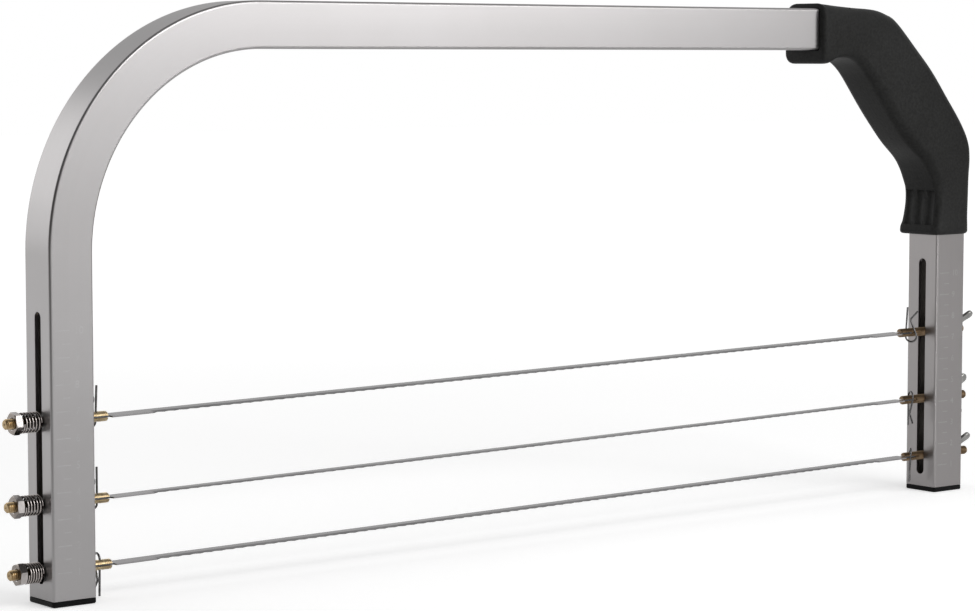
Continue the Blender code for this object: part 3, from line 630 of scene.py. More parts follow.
def spin(shape, profile, steps, ring=False, **settings):
    # turns a profile of radii and heights once round Z
    corners = [shape.verts.new((radius, 0, height)) for radius, height in profile]
    edges = [shape.edges.new(pair) for pair in zip(corners, corners[1:])]
    if ring:
        edges.append(shape.edges.new((corners[-1], corners[0])))
    bmesh.ops.spin(shape, geom=corners + edges, cent=(0, 0, 0), axis=(0, 0, 1), angle=math.tau, steps=steps,
                   **settings)


def spunShape(profile, steps, ring=False):
    shape = bmesh.new()
    spin(shape, profile, steps, ring, use_merge=True)
    weld(shape, 0.001 * mm)
    faceOutwards(shape)
    return shape


def moved(shape, place, turns=(0, 0, 0), order="ZYX"):
    # turned about its own origin by three angles in degrees, then carried to its place
    turn = Euler([math.radians(angle) for angle in turns], order).to_matrix().to_4x4()
    bmesh.ops.transform(shape, matrix=Matrix.Translation(place) @ turn, verts=shape.verts)
    return shape


def wireShape(points, thickness, roundness):
    curve = bpy.data.curves.new("wire", "CURVE")
    curve.dimensions = "3D"
    curve.bevel_depth = thickness / 2
    curve.bevel_resolution = roundness
    curve.use_fill_caps = True
    spline = curve.splines.new("POLY")
    spline.points.add(len(points) - 1)
    for target, point in zip(spline.points, points):
        target.co = (*point, 1)
    shape = bmesh.new()
    absorb(shape, curveMesh(curve))
    weld(shape, 0.001 * mm)
    faceOutwards(shape)
    return shape


def arcPoints(middle, radius, start, end, steps):
    angles = [math.radians(start + (end - start) * step / steps) for step in range(steps + 1)]
    return [(middle[0] + radius * math.cos(angle), middle[1] + radius * math.sin(angle)) for angle in angles]


# Frame tube and right leg
tubeValues = {
    "size": 19.05 * mm, "wall": 1.6 * mm, "corner": 1.2 * mm, "boreCorner": 0.5 * mm, "cornerSteps": 5,
    "bendRadius": 96.8 * mm, "bendSteps": 60, "height": 230.6 * mm, "foot": 2.4 * mm,
    "leftFace": -249.475 * mm, "rightFace": 251.925 * mm, "barEnd": 173.725 * mm, "legTop": 152.0 * mm,
    "slotWidth": 4.5 * mm, "slotLow": 8.1 * mm, "slotHigh": 112.2 * mm, "slotEdge": 0.2 * mm, "slotSides": 40,
    # the painted shade along the outer corner: where it starts beside the corner, its share on the leg, its length
    # on the bend
    "shadeStart": 0.45, "shadeOnLeg": 0.15, "shadeFade": 40 * mm,
    # how far on the right leg's lines start, and how deep in the wall the bore's dark finish, a painted shade, goes
    "lineStart": 1.0, "boreShare": 0.75,
}
halfTube = tubeValues["size"] / 2
leftLeg = tubeValues["leftFace"] + halfTube
rightLeg = tubeValues["rightFace"] - halfTube
barMiddle = tubeValues["height"] - halfTube
leftInner = tubeValues["leftFace"] + tubeValues["size"]
rightInner = tubeValues["rightFace"] - tubeValues["size"]


def tubeShell(values, half, corner, start, bent):
    # one skin of the tube, open at its ends, from the foot up and round the bend if it has one
    shape = bmesh.new()
    bmesh.ops.create_grid(shape, x_segments=1, y_segments=1, size=half)
    bevel(shape, shape.verts[:], corner, values["cornerSteps"], "VERTICES")
    bmesh.ops.delete(shape, geom=shape.faces[:], context="FACES_ONLY")
    shift(shape, shape.verts, start, 0, values["foot"])

    def along(edges, x=0, z=0):
        # of the edges that an extrusion makes, those at its far end
        made = bmesh.ops.extrude_edge_only(shape, edges=edges)["geom"]
        shift(shape, vertsOf(made), x, 0, z)
        return openEdges(edgesOf(made))

    if not bent:
        along(shape.edges[:], z=values["legTop"] - values["foot"])
        return shape
    bendStart = values["height"] - values["bendRadius"]
    ring = along(shape.edges[:], z=bendStart - values["foot"])
    centre = (values["leftFace"] + values["bendRadius"], 0, bendStart)
    made = bmesh.ops.spin(shape, geom=ring + cornersOf(ring), cent=centre, axis=(0, 1, 0),
                          angle=math.radians(90), steps=values["bendSteps"])["geom_last"]
    along(openEdges(edgesOf(made)), x=values["barEnd"] - centre[0])
    return shape


def markTubeWay(shape, values, bent):
    # the metal's own coordinates: along the tube, across it and away from its middle line
    way = shape.verts.layers.float_vector.new("tubeWay")
    outer = shape.verts.layers.float.new("outerCornerShade")
    rounded = halfTube - values["corner"] * values["shadeStart"]
    bendStart = values["height"] - values["bendRadius"]
    middle = Vector((values["leftFace"] + values["bendRadius"], 0, bendStart))
    run = values["bendRadius"] - halfTube
    for vertex in shape.verts:
        x, y, z = vertex.co
        if not bent:
            vertex[way] = (z + values["lineStart"], y, x - rightLeg)
        elif z <= bendStart and x < middle.x:
            vertex[way] = (z, y, x - leftLeg)
        elif x >= middle.x:
            vertex[way] = (bendStart + run * math.pi / 2 + x - middle.x, y, barMiddle - z)
        else:
            angle = math.atan2(z - bendStart, middle.x - x)
            reach = math.hypot(z - bendStart, middle.x - x)
            vertex[way] = (bendStart + run * angle, y, run - reach)
        # painted shade on the outer corners: strongest where the bend starts, fading towards the foot and along the
        # bend
        if abs(y) > rounded and -vertex[way][2] > rounded:
            past = vertex[way][0] - bendStart
            vertex[outer] = values["shadeOnLeg"] if past < -mm else max(0.0, 1.0 - past / values["shadeFade"])
    return way


def cutSlot(shape, values, start):
    # the slot through both side walls, with its edges broken
    radius, sides = values["slotWidth"] / 2, values["slotSides"]
    slot = moved(rodShape(radius, -2 * halfTube, 2 * halfTube, sides), (0, 0, 0), (0, 0, 180 / sides))
    moved(slot, (start, 0, values["slotLow"] + radius), (0, 90, 0))
    upper = [vertex for vertex in slot.verts if vertex.co.z > values["slotLow"] + radius]
    shift(slot, upper, z=values["slotHigh"] - values["slotLow"] - 2 * radius)
    shape = carved(shape, [slot])
    rims = [edge for edge in sharpEdges(shape, 50)
            if max(abs(vertex.co.y) for vertex in edge.verts) < radius + 0.1 * mm
            and abs(abs(edge.verts[0].co.x - start) - halfTube) < 0.05 * mm]
    bevel(shape, rims, values["slotEdge"], 2, clamp=True)
    return shape


def makeTube(name, values, start, bent, finish, node):
    shape = tubeShell(values, halfTube, values["corner"], start, bent)
    bore = tubeShell(values, halfTube - values["wall"], values["boreCorner"], start, bent)
    bmesh.ops.reverse_faces(bore, faces=bore.faces)
    absorb(shape, meshOf(bore))
    ends = openEdges(shape.edges)
    low = [edge for edge in ends if edge.verts[0].co.z < values["foot"] + mm]
    far = [edge for edge in ends if edge not in low]
    for rim in (low, far):
        bmesh.ops.bridge_loops(shape, edges=rim)
    faceOutwards(shape)
    shape = cutSlot(shape, values, start)
    way = markTubeWay(shape, values, bent)
    # faces inside the bore take the dark finish, painted shade
    for face in shape.faces:
        offsets = [sum(vertex[way][axis] for vertex in face.verts) / len(face.verts) for axis in (1, 2)]
        if max(abs(offset) for offset in offsets) < halfTube - values["wall"] * values["boreShare"]:
            face.material_index = 1
    addPiece(name, shape, finish, "frame", (node,), 30, True, ("bore",))


makeTube("frameTube", tubeValues, leftLeg, True, "tube", "frame_tube")
makeTube("rightLeg", tubeValues, rightLeg, False, "shadedRightTube", "right_leg_tube")
print("tubes made")

# Foot caps
capValues = {
    "top": 2.1 * mm, "edge": 0.7 * mm, "edgeSteps": 3, "corner": 1.2 * mm, "cornerSteps": 5,
    "plugTop": 7.3 * mm, "plugGap": 1.9 * mm,
}


def makeCap(name, values, middle, node):
    shape = boxShape((-halfTube, -halfTube, 0), (halfTube, halfTube, values["top"]))
    upright = [edge for edge in shape.edges if abs(edge.verts[0].co.z - edge.verts[1].co.z) > mm]
    bevel(shape, upright, values["corner"], values["cornerSteps"])
    low = [edge for edge in shape.edges if max(vertex.co.z for vertex in edge.verts) < 0.01 * mm]
    bevel(shape, low, values["edge"], values["edgeSteps"])
    top = max(shape.faces, key=lambda face: face.calc_center_median().z)
    bmesh.ops.inset_individual(shape, faces=[top], thickness=values["plugGap"], use_even_offset=True)
    (plug,) = bmesh.ops.extrude_discrete_faces(shape, faces=[top])["faces"]
    shift(shape, plug.verts[:], z=values["plugTop"] - values["top"])
    shift(shape, shape.verts, middle)
    addPiece(name, shape, "cap", "frame", (node,), 35, True)


makeCap("leftCap", capValues, leftLeg, "left_foot_cap")
makeCap("rightCap", capValues, rightLeg, "right_foot_cap")
print("caps made")

# Grip. Each row: outer point, inner point, two depths and two corner radii, as in the CAD
gripValues = {
    "reach": 99.2 * mm, "height": 109.4 * mm, "side": 3.3 * mm, "top": 2.8 * mm, "under": 3.5 * mm,
    "outer": 3.0 * mm, "inner": 1.65 * mm, "endEdge": 1.6 * mm, "endAngles": (0, 30, 60), "leastRound": 0.3 * mm,
    "barInGrip": 21.0 * mm, "legInGrip": 28.0 * mm, "legScrew": 0.67, "bossRows": (7, 10), "bossShare": 0.56,
    "between": 6, "cornerSteps": 7, "seam": 0.05 * mm, "gap": 0.3 * mm, "overrun": 3.0 * mm,
    "fluteHeight": 16.5 * mm, "fluteLow": 4.5 * mm, "fluteRib": 1.0 * mm, "fluteMiddle": 5.6 * mm,
    "fluteEdge": 1.8 * mm, "fluteFloor": 0.35 * mm, "fluteDepth": 1.7 * mm, "fluteLean": 6.5, "fluteSpan": 0.91,
    "rows": (
        (0.000, 0.996, 0.000, 0.968, 1.03, 1.03, 0.50, 0.36),
        (0.054, 0.992, 0.071, 0.970, 1.03, 1.02, 0.50, 0.34),
        (0.128, 0.986, 0.142, 0.996, 1.01, 0.98, 0.50, 0.30),
        (0.247, 0.979, 0.232, 1.000, 0.99, 0.93, 0.53, 0.30),
        (0.365, 0.973, 0.313, 0.977, 0.97, 0.90, 0.54, 0.32),
        (0.441, 0.957, 0.378, 0.932, 0.96, 0.88, 0.55, 0.34),
        (0.508, 0.926, 0.436, 0.875, 0.96, 0.89, 0.55, 0.36),
        (0.636, 0.817, 0.553, 0.738, 0.95, 0.90, 0.55, 0.38),
        (0.744, 0.719, 0.650, 0.631, 0.95, 0.89, 0.55, 0.38),
        (0.844, 0.608, 0.760, 0.522, 0.95, 0.89, 0.55, 0.38),
        (0.941, 0.495, 0.881, 0.431, 0.96, 0.93, 0.55, 0.36),
        (0.992, 0.412, 0.938, 0.368, 0.97, 0.95, 0.55, 0.34),
        (1.004, 0.340, 0.971, 0.311, 0.98, 0.94, 0.55, 0.30),
        (1.000, 0.256, 0.994, 0.252, 0.98, 0.91, 0.55, 0.26),
        (0.998, 0.170, 0.998, 0.170, 0.98, 0.92, 0.55, 0.24),
        (0.994, 0.080, 0.984, 0.080, 0.99, 0.96, 0.55, 0.24),
        (0.993, 0.040, 0.966, 0.040, 1.00, 1.00, 0.54, 0.28),
        (0.992, 0.000, 0.960, 0.000, 1.00, 1.00, 0.52, 0.30),
    ),
}
gripCollar = tubeValues["rightFace"] - gripValues["reach"]
gripLow = tubeValues["height"] + gripValues["top"] - gripValues["height"]
gripDepth = halfTube + gripValues["side"]


def gripRow(row, values):
    outerX, outerZ, innerX, innerZ = row[:4]
    outerFace = tubeValues["rightFace"] + values["outer"]
    innerFace = rightInner - values["inner"]
    outerTop = tubeValues["height"] + values["top"]
    innerTop = tubeValues["height"] - tubeValues["size"] - values["under"]
    outer = Vector((gripCollar + outerX * (outerFace - gripCollar), gripLow + outerZ * (outerTop - gripLow)))
    inner = Vector((gripCollar + innerX * (innerFace - gripCollar), gripLow + innerZ * (innerTop - gripLow)))
    return [outer, inner, *[share * gripDepth for share in row[4:]]]


def smoothRows(rows, between):
    # further rows between those given, along a smooth curve through them
    result = []
    for index in range(len(rows) - 1):
        before, after = rows[max(index - 1, 0)], rows[min(index + 2, len(rows) - 1)]
        for step in range(between):
            t = step / between
            result.append([
                0.5 * (2 * b + (c - a) * t + (2 * a - 5 * b + 4 * c - d) * t * t + (3 * b - a - 3 * c + d) * t ** 3)
                for a, b, c, d in zip(before, rows[index], rows[index + 1], after)])
    return result + [list(rows[-1])]


def addGripSection(shape, row, values, inset):
    # one rounded section of the grip, as a ring of edges
    outer, inner, deepOut, deepIn, roundOut, roundIn = row
    across = (outer - inner).normalized()
    outer, inner = outer - across * inset, inner + across * inset
    deepOut, deepIn = deepOut - inset, deepIn - inset
    span, least = (outer - inner).length, values["leastRound"]
    made = bmesh.ops.create_grid(shape, x_segments=1, y_segments=1, size=0.5)["verts"]
    for vertex in made:
        deep = deepOut if vertex.co.x > 0 else deepIn
        vertex.co = (span if vertex.co.x > 0 else 0, deep if vertex.co.y > 0 else -deep, 0)
    far = [vertex for vertex in made if vertex.co.x > span / 2]
    near = [vertex for vertex in made if vertex not in far]
    for corners, size in ((far, roundOut), (near, roundIn)):
        bevel(shape, corners, max(size - inset, least), values["cornerSteps"], "VERTICES")
    (face,) = shape.faces
    edges, corners = face.edges[:], face.verts[:]
    turn = Matrix(((across.x, 0, -across.y, inner.x), (0, 1, 0, 0), (across.y, 0, across.x, inner.y), (0, 0, 0, 1)))
    bmesh.ops.transform(shape, matrix=turn, verts=corners)
    bmesh.ops.delete(shape, geom=[face], context="FACES_ONLY")
    return edges


def gripSolid(values):
    shape = bmesh.new()
    rows = smoothRows([gripRow(row, values) for row in values["rows"]], values["between"])
    edge, rings = values["endEdge"], []

    def addRing(row, x=0, z=0, inset=0.0):
        rings.append(addGripSection(shape, row, values, inset))
        shift(shape, cornersOf(rings[-1]), x, 0, z)

    # the two ends are rounded off in a few small rings, and rows that lie within them are left out
    turns = [math.radians(angle) for angle in values["endAngles"]]
    ends = [(edge * (1 - math.cos(turn)), edge * (1 - math.sin(turn))) for turn in turns] + [(edge, 0.0)]
    for back, inset in ends:
        addRing(rows[0], x=back, inset=inset)
    for row in rows[3:-3]:
        addRing(row)
    for back, inset in reversed(ends):
        addRing(rows[-1], z=back, inset=inset)
    for first, second in zip(rings, rings[1:]):
        bmesh.ops.bridge_loops(shape, edges=first + second)
    bmesh.ops.holes_fill(shape, edges=openEdges(shape.edges), sides=0)
    faceOutwards(shape)
    return shape


screwValues = {
    "headRadius": 3.1 * mm, "headHeight": 1.9 * mm, "headRound": 0.9 * mm, "headEdge": 0.1 * mm,
    "sink": 0.6 * mm, "stand": 0.3 * mm, "longBite": 10.6 * mm, "shortBite": 5.6 * mm,
    "shankRadius": 1.5 * mm, "threadPitch": 1.1 * mm, "threadDepth": 0.3 * mm, "threadStart": 1.0 * mm,
    "plain": 3.0 * mm, "tip": 1.2 * mm, "tipShare": 0.8, "steps": 32,
    "crossSpan": 3.4 * mm, "crossWidth": 0.9 * mm, "crossDepth": 1.1 * mm, "crossEdge": 0.12 * mm,
}


def screwPlaces(grip, screw):
    # each screw's X and Z, its seat and its length
    sunk = screw["headHeight"] + screw["sink"]
    seat, length = gripDepth - sunk, gripDepth - sunk + screw["longBite"]
    places = {"barScrew": (gripCollar + grip["barInGrip"] / 2, barMiddle, seat, length)}
    for name, number in zip(("upperScrew", "lowerScrew"), grip["bossRows"]):
        outer, inner, deepOut, deepIn = gripRow(grip["rows"][number], grip)[:4]
        point = inner.lerp(outer, grip["bossShare"])
        face = deepIn + (deepOut - deepIn) * grip["bossShare"] - sunk
        places[name] = (point.x, point.y, face, face + screw["shortBite"])
    places["legScrew"] = (rightLeg, gripLow + grip["legInGrip"] * grip["legScrew"], seat, length)
    return places


def gripTools(values, side):
    # what is cut out of a half: room for both tubes, the screws' recesses and the flutes
    gap, room, past = values["gap"], halfTube + values["gap"], values["overrun"]
    tools = [
        boxShape((gripCollar - past, -room, barMiddle - room),
                 (gripCollar + values["barInGrip"] + gap, room, barMiddle + room), tubeValues["corner"]),
        boxShape((rightLeg - room, -room, gripLow - past),
                 (rightLeg + room, room, gripLow + values["legInGrip"] + gap), tubeValues["corner"]),
    ]
    if side > 0:
        for x, z, seat, length in screwPlaces(values, screwValues).values():
            hole = rodShape(screwValues["headRadius"] + gap, seat - gap, seat + gripDepth, 40)
            tools.append(moved(hole, (x, 0, z), (-90, 0, 0)))
    half, edge = values["fluteMiddle"] / 2, values["fluteSpan"] * gripDepth - values["fluteEdge"]
    floor = rightInner - gap - values["fluteFloor"]
    for lowY, highY in ((-edge, -half - values["fluteRib"]), (-half, half), (half + values["fluteRib"], edge)):
        # a round gouge that runs out towards the lower end
        wide, deep = (highY - lowY) / 2, values["fluteDepth"]
        radius = (wide * wide + deep * deep) / (2 * deep)
        gouge = moved(rodShape(radius, -values["fluteHeight"], 0, 72), (-radius, 0, 0))
        top = gripLow + values["fluteLow"] + values["fluteHeight"]
        tools.append(moved(gouge, (floor, (lowY + highY) / 2, top), (0, values["fluteLean"], 0)))
    return tools


def makeGrip(values):
    whole = meshOf(gripSolid(values))
    for name, side, node in (("gripFront", -1, "grip_front_half"), ("gripBack", 1, "grip_back_half")):
        shape = bmesh.new()
        shape.from_mesh(whole)
        cut = bmesh.ops.bisect_plane(shape, geom=allOf(shape), plane_co=(0, side * values["seam"] / 2, 0),
                                     plane_no=(0, side, 0), clear_inner=True)["geom_cut"]
        bmesh.ops.holes_fill(shape, edges=edgesOf(cut), sides=0)
        shape = carved(shape, gripTools(values, side))
        weld(shape, 0.002 * mm)
        addPiece(name, shape, "grip", "frame", (node,), 38)
    bpy.data.meshes.remove(whole)


def makeScrew(name, values, x, z, seat, length, node):
    head, high, shank = values["headRadius"], values["headHeight"], values["shankRadius"]
    dome, edge, pitch = values["headRound"], values["headEdge"], values["threadPitch"]
    profile = [(0, high), *arcPoints((head - dome, high - dome), dome, 90, 0, 5),
               (head, edge), (head - edge, 0), (shank, 0)]
    for turn in range(int((length - values["plain"]) / pitch)):
        height = -values["threadStart"] - turn * pitch
        profile += [(shank - values["threadDepth"], height), (shank, height - pitch / 2)]
    profile += [(shank * values["tipShare"], values["tip"] - length), (0, -length)]
    shape = spunShape(profile, values["steps"])
    half, width = values["crossSpan"] / 2, values["crossWidth"] / 2
    floor = high - values["crossDepth"]
    for a, b in ((half, width), (width, half)):
        shape = carved(shape, [boxShape((-a, -b, floor), (a, b, high + mm), values["crossEdge"], 1)])
    moved(shape, (x, seat + values["stand"], z), (-90, 0, 0))
    addPiece(name, shape, "screw", "frame", (node,), 35)


makeGrip(gripValues)
for name, place in screwPlaces(gripValues, screwValues).items():
    makeScrew(name, screwValues, *place, name.replace("Screw", "") + "_grip_screw")
print("grip made")

# Blades and all that carries them
bladeValues = {
    "width": 6.35 * mm, "thickness": 0.6 * mm, "tangWidth": 2.9 * mm, "tangPast": 2.6 * mm,
    "tangOutside": 0.4 * mm, "shoulder": 0.5 * mm, "plainEnd": 24.0 * mm, "toothPitch": 5.0 * mm,
    "toothDepth": 0.9 * mm, "groundBand": 2.5 * mm, "edgeThickness": 0.22 * mm, "hole": 0.75 * mm,
}
studValues = {
    "radius": 2.05 * mm, "chamfer": 0.45 * mm, "threadDepth": 0.42 * mm, "pitch": 0.794 * mm, "steps": 28,
    # corners of one turn: at the root (0) or the crest (1), and the share of the pitch
    "thread": ((0, 0), (0, 0.10), (1, 0.45), (1, 0.62), (0, 1.0)),
    "slotWidth": 0.95 * mm, "slotDepth": 9.3 * mm, "pinSetback": 4.8 * mm, "pinShare": 0.37, "pastNut": 3.1 * mm,
    "dimple": 0.62 * mm, "dimpleDepth": 0.45 * mm, "overrun": 2.0 * mm,
    "leftLength": 44.4 * mm, "rightLength": 43.3 * mm,
}
clipValues = {
    "wire": 0.9 * mm, "roundness": 4, "longLeg": 12.3 * mm, "legFoot": 0.5 * mm,
    "loopRadius": 2.7 * mm, "loopStart": 194, "loopEnd": 391, "loopSteps": 28,
    "pinchHeight": 6.0 * mm, "pinchGap": 0.5 * mm, "kneeRound": 0.18, "kneeSteps": 9,
    "tipHeight": 10.8 * mm, "tipReach": 5.1 * mm,
}
nutValues = {
    "flats": 7.8 * mm, "height": 2.9 * mm, "chamfer": 0.6 * mm, "bore": 2.2 * mm, "boreEdge": 0.35 * mm,
    "facing": 0.05 * mm, "steps": 72,
}
springValues = {
    "radius": 3.65 * mm, "wire": 0.8 * mm, "roundness": 3, "turns": 6.0, "endTurns": 0.9, "endPitch": 0.93 * mm,
    "perTurn": 28, "gap": 0.3 * mm,
}
washerValues = {
    "radius": 4.9 * mm, "thickness": 0.8 * mm, "bore": 2.35 * mm, "edge": 0.15 * mm, "gap": 0.3 * mm, "steps": 56,
}
wingValues = {
    "hub": 4.2 * mm, "neck": 3.3 * mm, "hubHeight": 4.6 * mm, "hubEdge": 0.3 * mm, "steps": 48,
    "span": 21.0 * mm, "height": 9.4 * mm, "tip": 2.1 * mm, "tipArc": (-35, 145, 12), "thickness": 1.7 * mm,
    "bore": 2.2 * mm, "easing": 0.5 * mm, "gap": 0.3 * mm,
    # the wing's edges, in shares of half the span and of the height, and its height at the hub
    "lowEdge": ((0.42, 0.15), (0.62, 0.22)), "highEdge": ((0.50, 0.66), (0.38, 0.52)), "root": (0.12, 0.46),
}
# Heights and insides in metres, angles in degrees, clips up (1) or down (-1)
rowValues = {
    "top": {
        "left": 70.5 * mm, "right": 77.1 * mm, "roll": 4.0, "leftInside": 10.6 * mm, "rightInside": 15.6 * mm,
        "nutTurn": 12.0, "wingTurn": 33.5, "leftClip": (1, 180.0), "rightClip": (1, 26.0),
    },
    "middle": {
        "left": 38.8 * mm, "right": 44.7 * mm, "roll": 0.0, "leftInside": 10.8 * mm, "rightInside": 13.4 * mm,
        "nutTurn": 24.0, "wingTurn": 9.5, "leftClip": (1, 180.0), "rightClip": (-1, -23.0),
    },
    "bottom": {
        "left": 12.8 * mm, "right": 17.2 * mm, "roll": 2.0, "leftInside": 11.7 * mm, "rightInside": 11.95 * mm,
        "nutTurn": -17.0, "wingTurn": 29.0, "leftClip": (-1, 175.0), "rightClip": (-1, -42.0),
    },
}


def bladeEnd(shape, values, length, flip):
    # the plain run, its shoulders and the narrow tang, at one end of the blade
    half, tang, past, plain = values["width"] / 2, values["tangWidth"] / 2, values["tangPast"], values["plainEnd"]
    tangEnd = studValues["pinSetback"] + values["tangOutside"]
    shoulder = tangEnd + values["shoulder"]
    outline = [(-past, -tang), (tangEnd, -tang), (shoulder, -half), (plain, -half),
               (plain, values["groundBand"] - half), (plain, half), (shoulder, half), (tangEnd, tang), (-past, tang)]
    corners = [shape.verts.new((length - x if flip else x, y, 0)) for x, y in outline]
    shape.faces.new(reversed(corners) if flip else corners)


def makeBlade(name, values, length, place, turns, body, node):
    half, plain = values["width"] / 2, values["plainEnd"]
    ground = values["groundBand"] - half
    shape = bmesh.new()
    count = int((length - 2 * plain) / values["toothPitch"])
    pitch = (length - 2 * plain) / count
    # one tooth, then copies of it side by side
    for vertex in bmesh.ops.create_grid(shape, x_segments=2, y_segments=2, size=0.5)["verts"]:
        across, up = vertex.co.x, vertex.co.y
        height = half if up > 0.1 else ground if up > -0.1 else -half
        if up < -0.1 and abs(across) < 0.1:
            height = values["toothDepth"] - half
        vertex.co = (plain + (across + 0.5) * pitch, height, 0)
    repeat(shape, count, x=pitch)
    bladeEnd(shape, values, length, False)
    bladeEnd(shape, values, length, True)
    weld(shape, 0.01 * mm)
    faceOutwards(shape)
    shift(shape, shape.verts, z=-values["thickness"] / 2)
    thicken(shape, z=values["thickness"])
    # the teeth are ground thin on both sides
    for vertex in shape.verts:
        if vertex.co.y < ground - 0.1 * mm and plain + mm < vertex.co.x < length - plain - mm:
            vertex.co.z = math.copysign(values["edgeThickness"] / 2, vertex.co.z)
    holes = [moved(rodShape(values["hole"], -mm, mm, 20), (along, 0, 0)) for along in (0, length)]
    shape = carved(shape, holes)
    for face in shape.faces:
        middle = face.calc_center_median()
        if middle.y < ground and plain < middle.x < length - plain:
            face.material_index = 1
        # the tang's edges, deep in the stud's slot, take the dark screw finish as painted shade
        elif min(middle.x, length - middle.x) < studValues["pinSetback"] and abs(face.normal.z) < 0.5:
            face.material_index = 2
    moved(shape, place, turns, "XYZ")
    addPiece(name, shape, "blade", body, (node,), 3, False, ("ground", "screw"))


def studShape(values, length):
    # a rod with a real screw thread; +Z is its inner end, at zero
    crest, depth, pitch = values["radius"], values["threadDepth"], values["pitch"]
    start = -length - 2 * pitch
    shape = bmesh.new()
    profile = [(crest if high else crest - depth, share * pitch + start) for high, share in values["thread"]]
    spin(shape, profile, values["steps"], dvec=(0, 0, pitch / values["steps"]))
    repeat(shape, int(length / pitch) + 3, z=pitch)
    weld(shape, 0.004 * mm)
    for height, way in ((0, 1), (-length, -1)):
        bmesh.ops.bisect_plane(shape, geom=allOf(shape), plane_co=(0, 0, height), plane_no=(0, 0, way),
                               clear_outer=True)
    weld(shape, 0.004 * mm)
    bmesh.ops.holes_fill(shape, edges=openEdges(shape.edges), sides=0)
    faceOutwards(shape)
    # both ends are chamfered, and the outer one has a dimple
    rim = crest - values["chamfer"]
    for vertex in shape.verts:
        x, y, z = vertex.co
        most = rim + max(min(-z, z + length), 0)
        reach = math.hypot(x, y)
        if reach > most:
            vertex.co.x, vertex.co.y = x * most / reach, y * most / reach
    end = min((face for face in shape.faces if len(face.verts) > 8), key=lambda face: face.calc_center_median().z)
    bmesh.ops.inset_individual(shape, faces=[end], thickness=rim - values["dimple"], use_even_offset=True)
    shift(shape, bmesh.ops.poke(shape, faces=[end])["verts"], z=values["dimpleDepth"])
    return shape


def slottedStud(values, length):
    half, past = values["slotWidth"] / 2, values["overrun"]
    wide = values["radius"] + past
    slot = boxShape((-half, -wide, -values["slotDepth"]), (half, wide, past))
    pin = rodShape(values["radius"] * values["pinShare"], -wide, wide, 20)
    moved(pin, (0, 0, -values["pinSetback"]), (0, 90, 0))
    return meshOf(carved(studShape(values, length), [slot, pin]))


def makeStud(name, stud, place, turns, body, node):
    shape = bmesh.new()
    shape.from_mesh(stud)
    addPiece(name, moved(shape, place, turns), "brass", body, (node,), 28)


def makeClip(name, values, up, place, turns, body, node):
    wire, leg, loop, bow = values["wire"], values["longLeg"], values["loopRadius"], values["kneeRound"]
    turn, steps = math.radians(values["loopStart"]), values["kneeSteps"]
    middle = (-loop * math.cos(turn), -studValues["radius"] - loop * math.sin(turn))
    route = [(0.0, leg), (0.0, leg / 2), (0.0, values["legFoot"])]
    route += arcPoints(middle, loop, values["loopStart"], values["loopEnd"], values["loopSteps"])
    # the bent leg: down to the pinch, round it and out to the tip
    start, tip = Vector(route[-1]), Vector((values["tipReach"], values["tipHeight"]))
    knee = Vector((wire + values["pinchGap"] * 1.5, values["pinchHeight"] + wire / 2))
    for share in (step / steps for step in range(1, steps)):
        before, after = start.lerp(knee, 1 - bow + bow * share), knee.lerp(tip, bow * share)
        route.append(tuple(before.lerp(after, share)))
    route.append(tuple(tip))
    shape = wireShape([(0, -side, height * up) for side, height in route], wire, values["roundness"])
    addPiece(name, moved(shape, place, turns), "clip", body, (node,), 50)


def makeSpring(name, values, length, place, turns, node):
    # closed end curls and evenly open ones between them
    radius, wire, perTurn, ends = values["radius"], values["wire"], values["perTurn"], values["endTurns"]
    inside = length - 2 * values["gap"] - wire
    openPitch = (inside - 2 * ends * values["endPitch"]) / (values["turns"] - 2 * ends)
    points, height = [], values["gap"] + wire / 2
    for index in range(round(values["turns"] * perTurn) + 1):
        angle = index / perTurn * math.tau - math.pi / 2
        points.append((radius * math.cos(angle), radius * math.sin(angle), height))
        middle = (index + 0.5) / perTurn
        atEnd = min(middle, values["turns"] - middle) < ends
        height += (values["endPitch"] if atEnd else openPitch) / perTurn
    shape = wireShape(points, wire, values["roundness"])
    # how far out on the coil each point lies, which places the wire's painted shade and highlight
    crest = shape.verts.layers.float.new("crest")
    for vertex in shape.verts:
        vertex[crest] = (math.hypot(vertex.co.x, vertex.co.y) - radius) / wire + 0.5
    spring = addPiece(name, moved(shape, place, turns), "spring", None, (node,), 50)
    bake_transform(spring)


def makeNut(name, values, place, turns, body, node):
    corner = values["flats"] / 2 / math.cos(math.pi / 6)
    flat, high, edge = values["flats"] / 2 - values["facing"], values["height"], values["chamfer"]
    bore, ease = values["bore"], values["boreEdge"]
    crown = [(flat, high), (corner + edge, high - edge), (corner + edge, edge), (flat, 0),
             (bore + ease, 0), (bore, ease), (bore, high - ease), (bore + ease, high)]
    shape = carved(rodShape(corner, 0, high, 6), [spunShape(crown, values["steps"], True)], "INTERSECT")
    for face in shape.faces:
        if abs(face.normal.z) > 0.9:
            face.material_index = 1
    addPiece(name, moved(shape, place, turns), "plated", body, (node,), 14, False, ("turned",))


def makeWasher(name, values, place, turns, body, node):
    radius, thick, edge, bore = values["radius"], values["thickness"], values["edge"], values["bore"]
    profile = [(radius - edge, thick), (radius, thick - edge), (radius, edge), (radius - edge, 0),
               (bore, 0), (bore, thick)]
    shape = moved(spunShape(profile, values["steps"], True), place, turns)
    addPiece(name, shape, "plated", body, (node,), 30)


